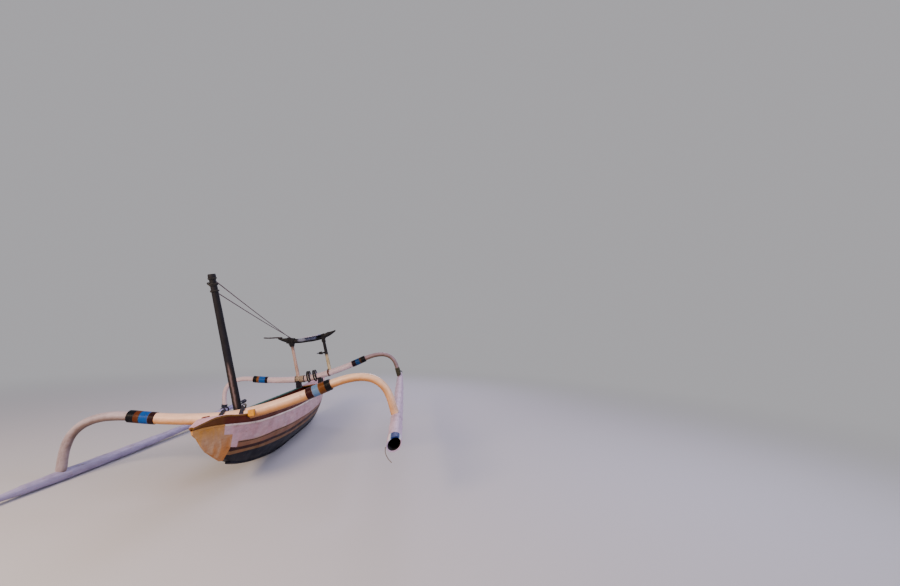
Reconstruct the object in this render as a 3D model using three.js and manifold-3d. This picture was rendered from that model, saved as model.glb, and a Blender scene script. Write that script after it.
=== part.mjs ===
// Double-outrigger sailing canoe, mast stepped and no sail bent on, drawn up on land.
// Millimetres, +Z up. The boat is drawn upright: x to its port side, y from bow to stern, z up from
// the underside of the keel. Its group is then heeled until keel and one float touch the floor.

import * as THREE from "three";
import { mergeVertices } from "three/addons/utils/BufferGeometryUtils.js";
import Module from "manifold-3d";

const wasm = await Module();
wasm.setup();
const { Manifold } = wasm;

const FIT = 0.35; // gap left between two pieces that bear on each other
const DATUM = 680; // height of the front boom's centre above the underside of the keel

// Hull lines. keel, log and sheer are heights from the front boom's centre.
// halfLog is the half breadth at the top of the log, flare what the strake adds to it, foot the
// half width of the underside and full the roundness of the bilge.
const HULL_LINES = [
  { y: -740, halfLog: 9, flare: 5, foot: 5, keel: -5, log: 30, sheer: 62, full: 1.3 },
  { y: -670, halfLog: 22, flare: 9, foot: 8, keel: -63, log: 30, sheer: 71, full: 1.3 },
  { y: -583, halfLog: 42, flare: 13, foot: 10, keel: -184, log: 22, sheer: 81, full: 1.35 },
  { y: -500, halfLog: 62, flare: 17, foot: 12, keel: -245, log: 11, sheer: 89, full: 1.4 },
  { y: -368, halfLog: 98, flare: 21, foot: 17, keel: -334, log: -12, sheer: 78, full: 1.5 },
  { y: -216, halfLog: 140, flare: 23, foot: 26, keel: -424, log: -44, sheer: 42, full: 1.7 },
  { y: 0, halfLog: 188, flare: 22, foot: 30, keel: -500, log: -86, sheer: 6, full: 2.0 },
  { y: 184, halfLog: 220, flare: 20, foot: 30, keel: -548, log: -112, sheer: -16, full: 2.2 },
  { y: 460, halfLog: 254, flare: 16, foot: 30, keel: -600, log: -132, sheer: -34, full: 2.5 },
  { y: 800, halfLog: 278, flare: 12, foot: 30, keel: -650, log: -152, sheer: -50, full: 2.8 },
  { y: 1200, halfLog: 292, flare: 10, foot: 30, keel: -680, log: -170, sheer: -64, full: 3.0 },
  { y: 1800, halfLog: 292, flare: 8, foot: 30, keel: -680, log: -184, sheer: -78, full: 3.0 },
  { y: 2400, halfLog: 262, flare: 8, foot: 30, keel: -680, log: -188, sheer: -84, full: 2.8 },
  { y: 2650, halfLog: 238, flare: 8, foot: 30, keel: -664, log: -184, sheer: -84, full: 2.6 },
  { y: 2930, halfLog: 202, flare: 8, foot: 30, keel: -624, log: -172, sheer: -80, full: 2.3 },
  { y: 3200, halfLog: 160, flare: 8, foot: 30, keel: -552, log: -150, sheer: -64, full: 2.0 },
  { y: 3500, halfLog: 106, flare: 8, foot: 26, keel: -430, log: -112, sheer: -34, full: 1.7 },
  { y: 3750, halfLog: 58, flare: 7, foot: 16, keel: -286, log: -70, sheer: 4, full: 1.5 },
  { y: 3900, halfLog: 30, flare: 6, foot: 9, keel: -165, log: -38, sheer: 32, full: 1.4 },
  { y: 4000, halfLog: 11, flare: 5, foot: 5, keel: -50, log: 4, sheer: 54, full: 1.3 },
];
const STRIP = { thick: 22, start: -185, end: 3880 };
const WALL = 26; // side of the log
const FLOOR = 46; // bottom of the log
const STRAKE = 24;
const CAP = { thick: 18, outside: 9, inside: 8 };
const RUB = { high: 22, proud: 12, start: -690, end: 3950, gap: 0.7 };
const CAVITY = { start: 72, end: 2850 };
const FORE_DECK_END = -78;
const AFT_DECK_START = 3010;
const BOW_JOINT = [
  [-1200, 300],
  [-372, 300],
  [-366, -112],
  [-262, -140],
  [-262, -268],
  [-335, -420],
  [-335, -900],
  [-1200, -900],
];
const STERN_JOINT = 3640;
const DECK_CROWN = 5;
const STATION_GAP = 260;
const BEARING = 1500; // where the flat run of the keel takes the floor

// Booms. shift is how far the middle lies to port, tilt how it rises towards port, end where it
// butts on the arm inside the sleeve, reach and lift how boldly the arm springs from it. arm holds
// the arm's radius at its root, waist and foot. sleeve and lash are distances from the middle.
const FRONT_BOOM = {
  y: 0,
  shift: 20,
  rise: 0,
  tilt: 0,
  radius: 62,
  end: 935,
  reach: 800,
  lift: 218,
  arm: [50, 43, 47],
  sleeve: [790, 1068],
  lash: { at: [-107, 107], wide: 46, thick: 9 },
};
const REAR_BOOM = {
  y: 2930,
  shift: 38,
  rise: 59,
  tilt: 0.033,
  radius: 57,
  end: 900,
  reach: 740,
  lift: 218,
  arm: [45, 36, 37],
  sleeve: [768, 1015],
  lash: { at: [-43, 75], wide: 84, thick: 18 },
};
const BOOM_TAPER = 0.006;
const BOOM_RISE = { soft: 140, slope: 0.069, curl: 0.102e-3 };
const SLEEVE_THICK = 8;
const ARM = { start: 65, tuck: 50, drop: 38, lean: 60, steps: 12 };

// Floats. Each runs in towards the stern by toe and climbs by slope and rise. The left pole has
// its thin end forward, the right one its thick end. Both are bamboo: a tube with a wall this thick,
// open at its fore end, and closed over a length of plug at its rear end.
const FLOAT = { span: 1745, drop: 315, front: -950, back: 3640, bevel: 0.7, wall: 12, plug: 60 };
const FLOATS = [
  { name: "left", sign: -1, toe: 0.069, slope: -0.012, rise: 8.7e-6 },
  { name: "right", sign: 1, toe: 0.034, slope: 0.012, rise: 8.0e-6 },
];
const FLOAT_RADII = [
  { y: -950, left: 25, right: 67 },
  { y: -530, left: 34, right: 67 },
  { y: -300, left: 47, right: 67 },
  { y: -80, left: 56, right: 67 },
  { y: 600, left: 57, right: 67 },
  { y: 1100, left: 55, right: 66 },
  { y: 1600, left: 50, right: 66 },
  { y: 2200, left: 46, right: 63 },
  { y: 2930, left: 43, right: 54 },
  { y: 3640, left: 36, right: 40 },
];

const BOOMS = [
  ["front", FRONT_BOOM],
  ["rear", REAR_BOOM],
];
const SIDE_SIGNS = [
  ["left", -1],
  ["right", 1],
];
const SIDES = { float: 16, boom: 16, arm: 16, mast: 16 };

const MAST = {
  atY: 133,
  atZ: 72,
  topY: -152,
  topZ: 1555,
  footZ: -438,
  foot: 44,
  top: 34,
  play: 6,
};
const POSTS = [
  { name: "rest_post_left", foot: -190, head: -245 },
  { name: "rest_post_right", foot: 388, head: 332 },
];
const POST_RADIUS = 30;

// Materials, one per finish. Each mesh gets its own copy.
const FINISHES = {
  lilacPaint: { color: 0xb9adb6, roughness: 0.55 },
  ochrePaint: { color: 0xb98a55, roughness: 0.6 },
  brownPaint: { color: 0x4a2a12, roughness: 0.5 },
  creamPaint: { color: 0xe2c9a2, roughness: 0.5 },
  greenPaint: { color: 0x8fb5a4, roughness: 0.55 },
  navyPaint: { color: 0x16163a, roughness: 0.5 },
  boomPaint: { color: 0xe6c8a4, roughness: 0.45 },
  floatPaint: { color: 0xc9c0d4, roughness: 0.45 },
  sleevePaint: { color: 0x2e7fb0, roughness: 0.5 },
  rawTimber: { color: 0x8b6a4c, roughness: 0.8 },
  darkTimber: { color: 0x231a1c, roughness: 0.6 },
  greyTimber: { color: 0x77757c, roughness: 0.85 },
  rope: { color: 0x1f2440, roughness: 0.9 },
  cord: { color: 0x6b4450, roughness: 0.9 },
};

const boat = new THREE.Group();
boat.name = "canoe";

function addPiece(name, geometry, finish) {
  const mesh = new THREE.Mesh(geometry, new THREE.MeshStandardMaterial(FINISHES[finish]));
  mesh.name = name;
  boat.add(mesh);
}

// Closed skin through rings of equal length, with a fan over each end.
function loft(rings) {
  const count = rings[0].length;
  const positions = [];
  const index = [];
  for (const ring of rings) {
    for (const p of ring) positions.push(p.x, p.y, p.z);
  }
  for (let r = 0; r + 1 < rings.length; r++) {
    for (let i = 0; i < count; i++) {
      const a = r * count + i;
      const b = r * count + ((i + 1) % count);
      index.push(a, b, a + count, b, b + count, a + count);
    }
  }
  const ends = [
    [rings[0], 0, true],
    [rings[rings.length - 1], (rings.length - 1) * count, false],
  ];
  for (const [ring, start, first] of ends) {
    const middle = new THREE.Vector3();
    for (const p of ring) middle.addScaledVector(p, 1 / count);
    const hub = positions.length / 3;
    positions.push(middle.x, middle.y, middle.z);
    for (let i = 0; i < count; i++) {
      const a = start + i;
      const b = start + ((i + 1) % count);
      if (first) index.push(b, a, hub);
      else index.push(a, b, hub);
    }
  }
  const geometry = new THREE.BufferGeometry();
  geometry.setAttribute("position", new THREE.Float32BufferAttribute(positions, 3));
  geometry.setIndex(index);
  return geometry;
}

function solidOf(geometry) {
  const bare = new THREE.BufferGeometry();
  bare.setAttribute("position", geometry.getAttribute("position"));
  bare.setIndex(geometry.index);
  const welded = mergeVertices(bare, 1e-3);
  const mesh = new wasm.Mesh({
    numProp: 3,
    vertProperties: new Float32Array(welded.attributes.position.array),
    triVerts: new Uint32Array(welded.index.array),
  });
  const solid = new Manifold(mesh);
  if (solid.volume() >= 0) return solid;
  for (let i = 0; i < mesh.triVerts.length; i += 3) {
    const held = mesh.triVerts[i];
    mesh.triVerts[i] = mesh.triVerts[i + 1];
    mesh.triVerts[i + 1] = held;
  }
  return new Manifold(mesh);
}

function geometryOf(solid) {
  const mesh = solid.getMesh();
  const positions = new Float32Array(mesh.numVert * 3);
  for (let i = 0; i < mesh.numVert; i++) {
    positions.set(mesh.vertProperties.subarray(i * mesh.numProp, i * mesh.numProp + 3), i * 3);
  }
  const geometry = new THREE.BufferGeometry();
  geometry.setAttribute("position", new THREE.Float32BufferAttribute(positions, 3));
  geometry.setIndex(new THREE.Uint32BufferAttribute(mesh.triVerts, 1));
  return geometry;
}

const at = (x, y, z) => new THREE.Vector3(x, y, z);

// Round bar along a path of points, radius given per point.
function bar(points, radii, sides) {
  const rings = [];
  let side = at(0, 1, 0);
  for (let i = 0; i < points.length; i++) {
    const before = points[Math.max(i - 1, 0)];
    const after = points[Math.min(i + 1, points.length - 1)];
    const along = after.clone().sub(before).normalize();
    if (Math.abs(along.dot(side)) > 0.9) side = at(1, 0, 0);
    side = side.clone().addScaledVector(along, -side.dot(along)).normalize();
    const other = along.clone().cross(side);
    const radius = Array.isArray(radii) ? radii[i] : radii;
    const ring = [];
    for (let k = 0; k < sides; k++) {
      const turn = (2 * Math.PI * k) / sides;
      const p = points[i].clone();
      p.addScaledVector(side, radius * Math.cos(turn));
      p.addScaledVector(other, radius * Math.sin(turn));
      ring.push(p);
    }
    rings.push(ring);
  }
  return loft(rings);
}

const solidBar = (points, radii, sides) => solidOf(bar(points, radii, sides));

function solidBox(from, to) {
  const size = [0, 1, 2].map((i) => to[i] - from[i]);
  const middle = [0, 1, 2].map((i) => (to[i] + from[i]) / 2);
  return solidOf(new THREE.BoxGeometry(...size)).translate(middle);
}

// Flat plate of a (y, z) outline, spread over x.
function plate(outline, halfWidth) {
  const rings = [-halfWidth, halfWidth].map((x) => outline.map(([y, z]) => at(x, y, z)));
  return solidOf(loft(rings));
}

// Value of one column of the hull lines at y, by a smooth curve through the rows.
function hullLine(column, y) {
  const rows = HULL_LINES;
  let i = 0;
  while (i < rows.length - 2 && y > rows[i + 1].y) i++;
  const slope = (k) => {
    const a = rows[Math.max(k - 1, 0)];
    const b = rows[Math.min(k + 1, rows.length - 1)];
    return (b[column] - a[column]) / (b.y - a.y);
  };
  const span = rows[i + 1].y - rows[i].y;
  const t = THREE.MathUtils.clamp((y - rows[i].y) / span, 0, 1);
  const t2 = t * t;
  const t3 = t2 * t;
  return (
    (2 * t3 - 3 * t2 + 1) * rows[i][column] +
    (t3 - 2 * t2 + t) * span * slope(i) +
    (3 * t2 - 2 * t3) * rows[i + 1][column] +
    (t3 - t2) * span * slope(i + 1)
  );
}

const keelAt = (y) => Math.max(hullLine("keel", y) + DATUM, 0);
const logAt = (y) => hullLine("log", y) + DATUM;
const sheerAt = (y) => hullLine("sheer", y) + DATUM;
const capFloor = (y) => sheerAt(y) - CAP.thick;
const halfLogAt = (y) => hullLine("halfLog", y);
const halfSheerAt = (y) => hullLine("halfLog", y) + hullLine("flare", y);

function stations(from, to) {
  const inside = HULL_LINES.map((row) => row.y).filter((y) => y > from + 20 && y < to - 20);
  const ys = [from, ...inside, to];
  const out = [];
  for (let i = 0; i + 1 < ys.length; i++) {
    const steps = Math.max(1, Math.round((ys[i + 1] - ys[i]) / STATION_GAP));
    for (let k = 0; k < steps; k++) out.push(ys[i] + ((ys[i + 1] - ys[i]) * k) / steps);
  }
  out.push(to);
  return out;
}

// Half breadth of the log at a share of its height, 0 at the keel and 1 at its top edge.
function breadth(y, share) {
  const keel = hullLine("foot", y);
  const grown = 1 - Math.pow(1 - share, hullLine("full", y));
  return keel + (halfLogAt(y) - keel) * grown;
}

const SHARES = [0, 0.07, 0.16, 0.27, 0.4, 0.56, 0.76, 1];
const BOW = -740;
const STERN = 4000;
const RUN = stations(BOW, STERN);
const BOX_HALF = 420;

// Part of a solid between two distances from the front boom.
function between(solid, from, to) {
  return solid.intersect(solidBox([-BOX_HALF, from, -300], [BOX_HALF, to, 1500]));
}

// Solid of the log's outside, its underside raised by lift.
function logForm(lift) {
  const rings = RUN.map((y) => {
    const low = keelAt(y) + lift;
    const high = logAt(y);
    const side = SHARES.map((s) => [breadth(y, s), low + (high - low) * s]);
    const port = side.map(([x, z]) => at(x, y, z));
    const other = side.map(([x, z]) => at(-x, y, z)).reverse();
    return [...port, ...other];
  });
  return solidOf(loft(rings));
}

// Space inside the log, drawn in from its skin by inset and up from its keel by rise.
function cavity(inset, rise) {
  const rings = RUN.filter((y) => y > -200 && y < 3300).map((y) => {
    const low = keelAt(y) + STRIP.thick + rise;
    const high = logAt(y);
    const side = SHARES.map((s) => [Math.max(breadth(y, s) - inset, 4), low + (high - low) * s]);
    side.push([side[side.length - 1][0], high + 260]);
    const port = side.map(([x, z]) => at(x, y, z));
    const other = side.map(([x, z]) => at(-x, y, z)).reverse();
    return [...port, ...other];
  });
  return between(solidOf(loft(rings)), CAVITY.start, CAVITY.end);
}

const kept = {};

function buildHull() {
  const joint = BOW_JOINT.map(([y, z]) => [y, z + DATUM]);
  const nose = plate(joint, BOX_HALF);
  const ends = nose.translate([0, FIT, 0]).add(nose);
  kept.bow = logForm(0).intersect(nose);
  addPiece("bow_block", geometryOf(kept.bow), "ochrePaint");

  const form = logForm(STRIP.thick);
  kept.stern = between(form, STERN_JOINT, STERN + 10);
  addPiece("stern_block", geometryOf(kept.stern), "ochrePaint");

  kept.log = between(form, BOW - 10, STERN_JOINT - FIT).subtract(ends).subtract(cavity(WALL, FLOOR));
  addPiece("hull_log", geometryOf(kept.log), "lilacPaint");

  const strip = RUN.map((y) => {
    const low = keelAt(y);
    const high = low + STRIP.thick - FIT;
    const half = hullLine("foot", y);
    return [at(-half, y, low), at(half, y, low), at(half, y, high), at(-half, y, high)];
  });
  const keel = between(solidOf(loft(strip)), STRIP.start, STRIP.end).subtract(ends);
  addPiece("keel_strip", geometryOf(keel), "navyPaint");
}

function strakeSection(y, sign) {
  const low = logAt(y) + FIT;
  const high = capFloor(y) - FIT;
  const foot = halfLogAt(y);
  const head = halfSheerAt(y);
  const belly = foot + (head - foot) * 0.45;
  return [
    at(sign * Math.max(foot - STRAKE, 0.4), y, low),
    at(sign * foot, y, low),
    at(sign * belly, y, low + (high - low) * 0.5),
    at(sign * head, y, high),
    at(sign * Math.max(head - STRAKE, 0.4), y, high),
  ];
}

function rubSection(y, sign) {
  const top = logAt(y) - 1;
  const skin = halfLogAt(y);
  const tall = Math.max(top - keelAt(y) - STRIP.thick, 40);
  const low = breadth(y, Math.max(1 - RUB.high / tall, 0.3));
  return [
    at(sign * (skin - 6), y, top),
    at(sign * (skin + RUB.proud), y, top - 3),
    at(sign * (skin + RUB.proud - 2), y, top - RUB.high + 3),
    at(sign * (low - 6), y, top - RUB.high),
  ];
}

function capSection(y, sign) {
  const head = halfSheerAt(y);
  const out = head + CAP.outside;
  const inside = Math.max(head - STRAKE - CAP.inside, 0.4);
  return [
    at(sign * inside, y, capFloor(y)),
    at(sign * out, y, capFloor(y)),
    at(sign * out, y, sheerAt(y)),
    at(sign * inside, y, sheerAt(y)),
  ];
}

function deckSection(y) {
  const out = halfSheerAt(y) + CAP.outside;
  const low = capFloor(y);
  const high = sheerAt(y);
  return [at(-out, y, low), at(out, y, low), at(out, y, high), at(0, y, high + DECK_CROWN), at(-out, y, high)];
}

// Planks that stand on or along the log's edge.
function buildStrakes() {
  const reach = FRONT_BOOM.radius + FIT;
  const notch = solidBox([-BOX_HALF, -reach, DATUM + boomLift(200)], [BOX_HALF, reach, DATUM + 200]);
  for (const [name, sign] of SIDE_SIGNS) {
    const plank = solidOf(loft(RUN.map((y) => strakeSection(y, sign))));
    const strake = plank.subtract(boomSolid(FRONT_BOOM, FIT)).subtract(notch);
    addPiece("sheer_strake_" + name, geometryOf(strake), "brownPaint");

    const rub = between(solidOf(loft(RUN.map((y) => rubSection(y, sign)))), RUB.start, RUB.end)
      .subtract(kept.bow.translate([sign * RUB.gap, 0, 0]))
      .subtract(kept.log.translate([sign * RUB.gap, 0, 0]))
      .subtract(kept.stern.translate([sign * RUB.gap, 0, 0]));
    addPiece("rub_rail_" + name, geometryOf(biggest(rub)), "creamPaint");

    const cap = solidOf(loft(RUN.map((y) => capSection(y, sign))));
    addPiece("cap_rail_" + name, geometryOf(between(cap, reach + 8, AFT_DECK_START - 1)), "greenPaint");
  }
}

function buildDecks() {
  const deck = solidOf(loft(RUN.map(deckSection)));
  addPiece("fore_deck", geometryOf(between(deck, BOW - 10, FORE_DECK_END)), "creamPaint");
  addPiece("aft_deck", geometryOf(between(deck, AFT_DECK_START, STERN + 10)), "creamPaint");
}

const mastRun = (MAST.atY - MAST.topY) / (MAST.topZ - MAST.atZ);
const mastAt = (z) => at(0, MAST.atY + (MAST.atZ - z) * mastRun, z + DATUM);
const mastUp = mastAt(1000).sub(mastAt(0)).normalize();

const RIB = { wide: 44, deep: 34, flat: 152, high: 400, ys: [1260, 1950, 2340] };
const PARTNER = { from: 92, to: 410, top: -150, thick: 40 };
const STEP = { from: 120, to: 380, top: -396 };
const THWARTS = [
  { name: "fore_thwart", y: 860, wide: 190 },
  { name: "mid_thwart", y: 1620, wide: 230 },
  { name: "aft_thwart", y: 2380, wide: 190 },
];
const SEAT = { drop: 26, thick: 30 }; // drop is from the log's top edge
const BOARD = { half: 68, ahead: 60, behind: 40, thick: 20 };

function buildInside() {
  const snug = WALL + FIT;
  const play = MAST.foot + MAST.play;
  const hole = solidBar([mastAt(-330), mastAt(0)], play, 28);
  const partner = cavity(snug, FLOOR)
    .intersect(
      solidBox(
        [-BOX_HALF, PARTNER.from, PARTNER.top - PARTNER.thick + DATUM],
        [BOX_HALF, PARTNER.to, PARTNER.top + DATUM],
      ),
    )
    .subtract(hole);
  addPiece("mast_partner", geometryOf(partner), "rawTimber");

  const socketFloor = mastAt(MAST.footZ).addScaledVector(mastUp, -FIT);
  const socket = solidBar([socketFloor, mastAt(-300)], play, 28);
  const step = cavity(snug, FLOOR + FIT)
    .intersect(solidBox([-BOX_HALF, STEP.from, 0], [BOX_HALF, STEP.to, STEP.top + DATUM]))
    .subtract(socket);
  addPiece("mast_step", geometryOf(step), "rawTimber");

  for (const seat of THWARTS) {
    const top = logAt(seat.y) - SEAT.drop;
    const fore = seat.y - seat.wide / 2;
    const thwart = cavity(snug, FLOOR).intersect(
      solidBox([-BOX_HALF, fore, top - SEAT.thick], [BOX_HALF, fore + seat.wide, top]),
    );
    addPiece(seat.name, geometryOf(thwart), "rawTimber");
  }

  RIB.ys.forEach((y, i) => {
    const band = solidBox([-BOX_HALF, y - RIB.wide / 2, 0], [BOX_HALF, y + RIB.wide / 2, RIB.high]);
    const above = solidBox([-BOX_HALF, y - 80, RIB.flat], [BOX_HALF, y + 80, 900]);
    const rib = cavity(snug, FLOOR + FIT)
      .intersect(band)
      .subtract(cavity(WALL + RIB.deep, FLOOR).intersect(above));
    addPiece("rib_" + (i + 1), geometryOf(rib), "rawTimber");
  });

  const boardLow = RIB.flat + FIT;
  const board = solidBox(
    [-BOARD.half, RIB.ys[0] - BOARD.ahead, boardLow],
    [BOARD.half, RIB.ys[2] + BOARD.behind, boardLow + BOARD.thick],
  );
  addPiece("floor_board", geometryOf(board), "greyTimber");
}

// Height of a boom's centre line above its middle, at a distance out from the middle.
function boomLift(out) {
  const soft = Math.hypot(out, BOOM_RISE.soft) - BOOM_RISE.soft;
  return BOOM_RISE.slope * soft + BOOM_RISE.curl * out * out;
}

function boomPoint(boom, out) {
  return at(boom.shift + out, boom.y, DATUM + boom.rise + boom.tilt * out + boomLift(out));
}

const boomOver = (boom, x) => boomPoint(boom, x - boom.shift);

const floatSide = (float, y) => FLOAT.span - float.toe * y;

function floatHeight(float, y) {
  const back = Math.max(y, 0);
  return DATUM - FLOAT.drop + float.slope * y + float.rise * back * back;
}

function floatRadius(float, y) {
  let i = 0;
  while (i < FLOAT_RADII.length - 2 && y > FLOAT_RADII[i + 1].y) i++;
  const [a, b] = [FLOAT_RADII[i], FLOAT_RADII[i + 1]];
  return THREE.MathUtils.lerp(a[float.name], b[float.name], (y - a.y) / (b.y - a.y));
}

const floatPoint = (float, y) => at(float.sign * floatSide(float, y), y, floatHeight(float, y));

// The rows' places and those halfway between them.
const FLOAT_STEPS = FLOAT_RADII.flatMap(({ y }, i) => (i ? [(y + FLOAT_RADII[i - 1].y) / 2, y] : [y]));

// Round pole, its fore end cut slantwise so that the inner side stands further forward.
function floatBar(float, grow) {
  const radii = FLOAT_STEPS.map((y) => floatRadius(float, y) + grow);
  const geometry = bar(FLOAT_STEPS.map((y) => floatPoint(float, y)), radii, SIDES.float);
  const place = geometry.getAttribute("position");
  const middle = float.sign * floatSide(float, FLOAT.front);
  for (let i = 0; i < SIDES.float; i++) {
    const out = (place.getX(i) - middle) * float.sign;
    place.setY(i, place.getY(i) + out * FLOAT.bevel);
  }
  return geometry;
}

// The pole's hollow, from well ahead of its fore end to the plug.
function floatHollow(float) {
  const ahead = FLOAT.front - 2 * floatRadius(float, FLOAT.front);
  const ys = [ahead, ...FLOAT_STEPS.slice(1, -1), FLOAT.back - FLOAT.plug];
  const radii = ys.map((y) => floatRadius(float, y) - FLOAT.wall);
  return solidBar(ys.map((y) => floatPoint(float, y)), radii, SIDES.float);
}

function armPath(boom, float) {
  const out = (distance) => boomPoint(boom, float.sign * distance);
  const start = out(boom.end + ARM.start);
  const foot = floatPoint(float, boom.y);
  const bend = new THREE.CubicBezierCurve3(
    start,
    start.clone().add(at(float.sign * boom.reach, 0, boom.lift)),
    foot.clone().add(at(-float.sign * ARM.lean, 0, ARM.drop + ARM.tuck)),
    foot.clone().add(at(0, 0, ARM.tuck)),
  );
  return [out(boom.end - 25), out(boom.end + 15), ...bend.getPoints(ARM.steps), foot];
}

const boomRadius = (boom, out) => boom.radius - Math.abs(out) * BOOM_TAPER;

function armSolid(boom, float, grow) {
  const path = armPath(boom, float);
  const [root, waist, foot] = boom.arm;
  const half = path.length / 2;
  const radii = path.map((p, i) => {
    const there = i < half ? [root, waist, i / half] : [waist, foot, i / half - 1];
    return THREE.MathUtils.lerp(...there) + grow;
  });
  return solidBar(path, radii, SIDES.arm);
}

function boomSolid(boom, grow) {
  const outs = [];
  for (let i = -6; i <= 6; i++) outs.push((i * (boom.end + 30)) / 6);
  const points = outs.map((out) => boomPoint(boom, out));
  return solidBar(points, outs.map((out) => boomRadius(boom, out) + grow), SIDES.boom);
}

// Slab across the boat that reaches as far out as the boom does.
function boomSpan(boom, spare) {
  const out = boom.end - spare;
  return solidBox([boom.shift - out, boom.y - 200, 0], [boom.shift + out, boom.y + 200, 2000]);
}

function buildOutriggers() {
  for (const float of FLOATS) {
    const pole = solidOf(floatBar(float, 0)).subtract(floatHollow(float));
    addPiece("float_" + float.name, geometryOf(pole), "floatPaint");
    kept["float_" + float.name] = solidOf(floatBar(float, FIT));
  }
  for (const [end, boom] of BOOMS) {
    kept[end] = boomSolid(boom, FIT);
    addPiece(end + "_boom", geometryOf(boomSolid(boom, 0).intersect(boomSpan(boom, FIT))), "boomPaint");
    const inside = boomSpan(boom, 0);
    for (const float of FLOATS) {
      const arm = armSolid(boom, float, 0).subtract(inside).subtract(kept["float_" + float.name]);
      addPiece("arm_" + end + "_" + float.name, geometryOf(biggest(arm)), "boomPaint");

      const [from, to] = boom.sleeve;
      const run = [];
      for (let i = 0; i <= 4; i++) run.push(boomOrArm(boom, float, from + ((to - from) * i) / 4));
      const outside = solidBar(run, boomRadius(boom, boom.end) + SLEEVE_THICK, SIDES.boom);
      const inArm = armSolid(boom, float, FIT).subtract(inside);
      const sleeve = outside.subtract(kept[end].intersect(inside)).subtract(inArm);
      addPiece("sleeve_" + end + "_" + float.name, geometryOf(biggest(sleeve)), "sleevePaint");
    }
  }
}

function biggest(solid) {
  const bodies = solid.decompose();
  bodies.sort((a, b) => b.volume() - a.volume());
  return bodies[0];
}

// Centre line point so far out from the boom's middle, on the boom or on the arm beyond it.
function boomOrArm(boom, float, distance) {
  const path = armPath(boom, float);
  const out = (p) => (p.x - boom.shift) * float.sign;
  for (let i = 2; i + 1 < path.length; i++) {
    if (out(path[i]) > distance || out(path[i + 1]) <= distance) continue;
    const t = (distance - out(path[i])) / (out(path[i + 1]) - out(path[i]));
    return path[i].clone().lerp(path[i + 1], t);
  }
  return boomPoint(boom, float.sign * distance);
}

const SADDLE = { inner: 205, wide: 60, ahead: 96, behind: 40, low: 26, high: 36 };
const PEDESTAL = { along: 170, wide: 62, tuck: 26 };

// The front boom lies in notches of the strakes, with a saddle beside each of them.
// The rear boom stands on a pedestal on each cap rail.
function buildSeats() {
  for (const [name, sign] of SIDE_SIGNS) {
    const middle = sign * (SADDLE.inner + SADDLE.wide / 2);
    const level = boomOver(FRONT_BOOM, middle).z;
    const saddle = solidBox(
      [middle - SADDLE.wide / 2, -SADDLE.ahead, level - SADDLE.low],
      [middle + SADDLE.wide / 2, SADDLE.behind, level + SADDLE.high],
    );
    addPiece("chock_front_" + name, geometryOf(biggest(saddle.subtract(kept.front))), "ochrePaint");

    const boom = REAR_BOOM;
    const seat = halfSheerAt(boom.y) - STRAKE / 2;
    const top = boomOver(boom, sign * seat).z - PEDESTAL.tuck;
    const a = sign * (seat - PEDESTAL.wide / 2);
    const b = sign * (seat + PEDESTAL.wide / 2);
    const near = RUN.filter((y) => Math.abs(y - boom.y) < 320);
    const rings = near.map((y) => {
      const low = sheerAt(y) + FIT;
      return [at(a, y, low), at(b, y, low), at(b, y, top), at(a, y, top)];
    });
    const along = PEDESTAL.along / 2;
    const block = between(solidOf(loft(rings)), boom.y - along, Math.min(boom.y + along, AFT_DECK_START - 2));
    addPiece("chock_rear_" + name, geometryOf(biggest(block.subtract(kept.rear))), "ochrePaint");
  }
  for (const [end, boom] of BOOMS) {
    boom.lash.at.forEach((out, i) => {
      const run = [-1, 1].map((side) => boomPoint(boom, out + (side * boom.lash.wide) / 2));
      const coil = solidBar(run, boom.radius + boom.lash.thick, SIDES.boom).subtract(kept[end]);
      addPiece("lashing_" + end + "_" + SIDE_SIGNS[i][0], geometryOf(coil), "rope");
    });
  }
}

function mastRadius(z) {
  const t = THREE.MathUtils.clamp((z - MAST.atZ) / (MAST.topZ - MAST.atZ), 0, 1);
  return MAST.foot + (MAST.top - MAST.foot) * t;
}

function mastSolid(grow) {
  const heights = [MAST.footZ, MAST.atZ, 500, 1000, MAST.topZ];
  return solidBar(heights.map(mastAt), heights.map((z) => mastRadius(z) + grow), SIDES.mast);
}

const COLLAR = { low: 1424, high: 1460, proud: 11 };
const STAYS = [
  { name: "stay_upper", high: 1506, side: 0 },
  { name: "stay_lower", high: 1371, side: 18 },
];
const STAY_RADIUS = 6;

function buildRig() {
  const mast = mastSolid(0);
  const room = mastSolid(FIT);
  addPiece("mast", geometryOf(mast), "darkTimber");

  const girth = mastRadius(COLLAR.low) + COLLAR.proud;
  const collar = solidBar([mastAt(COLLAR.low), mastAt(COLLAR.high)], girth, SIDES.mast);
  addPiece("mast_collar", geometryOf(collar.subtract(room)), "rope");

  const collarRoom = solidBar([mastAt(COLLAR.low - 1), mastAt(COLLAR.high + 1)], girth + FIT, SIDES.mast);
  const yokeRoom = kept.yoke.translate([0, 0, FIT]);
  for (const stay of STAYS) {
    const tail = at(STAY_FOOT.x + stay.side, STAY_FOOT.y, STAY_FOOT.z + DATUM);
    const line = solidBar([mastAt(stay.high), tail], STAY_RADIUS, 8);
    const free = line.subtract(room).subtract(collarRoom).subtract(yokeRoom);
    addPiece(stay.name, geometryOf(biggest(free)), "cord");
  }
}

const STAY_FOOT = { x: -250, y: 2930, z: 830 };
const YOKE = {
  deep: 84,
  wide: 70,
  middle: 50,
  low: 718,
  halfSpan: 510,
  sweep: 120,
  stops: [-470, -400, -320, -240, -140, -20, 100, 220, 330, 420, 500, 570],
};
const YOKE_BOARD = { left: -4, right: 296, ahead: 190, behind: 230, thick: 16 };
const STICK = { near: [-430, 868], tip: [-730, 912], radii: [12, 9] };
const PEG = { high: 482, tip: [186, 486], radius: 12 };

// Underside of the yoke above the boat's datum, across the boat.
function yokeLow(x) {
  const t = (x - YOKE.middle) / YOKE.halfSpan;
  return YOKE.low + YOKE.sweep * t * t * Math.abs(t);
}

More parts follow.
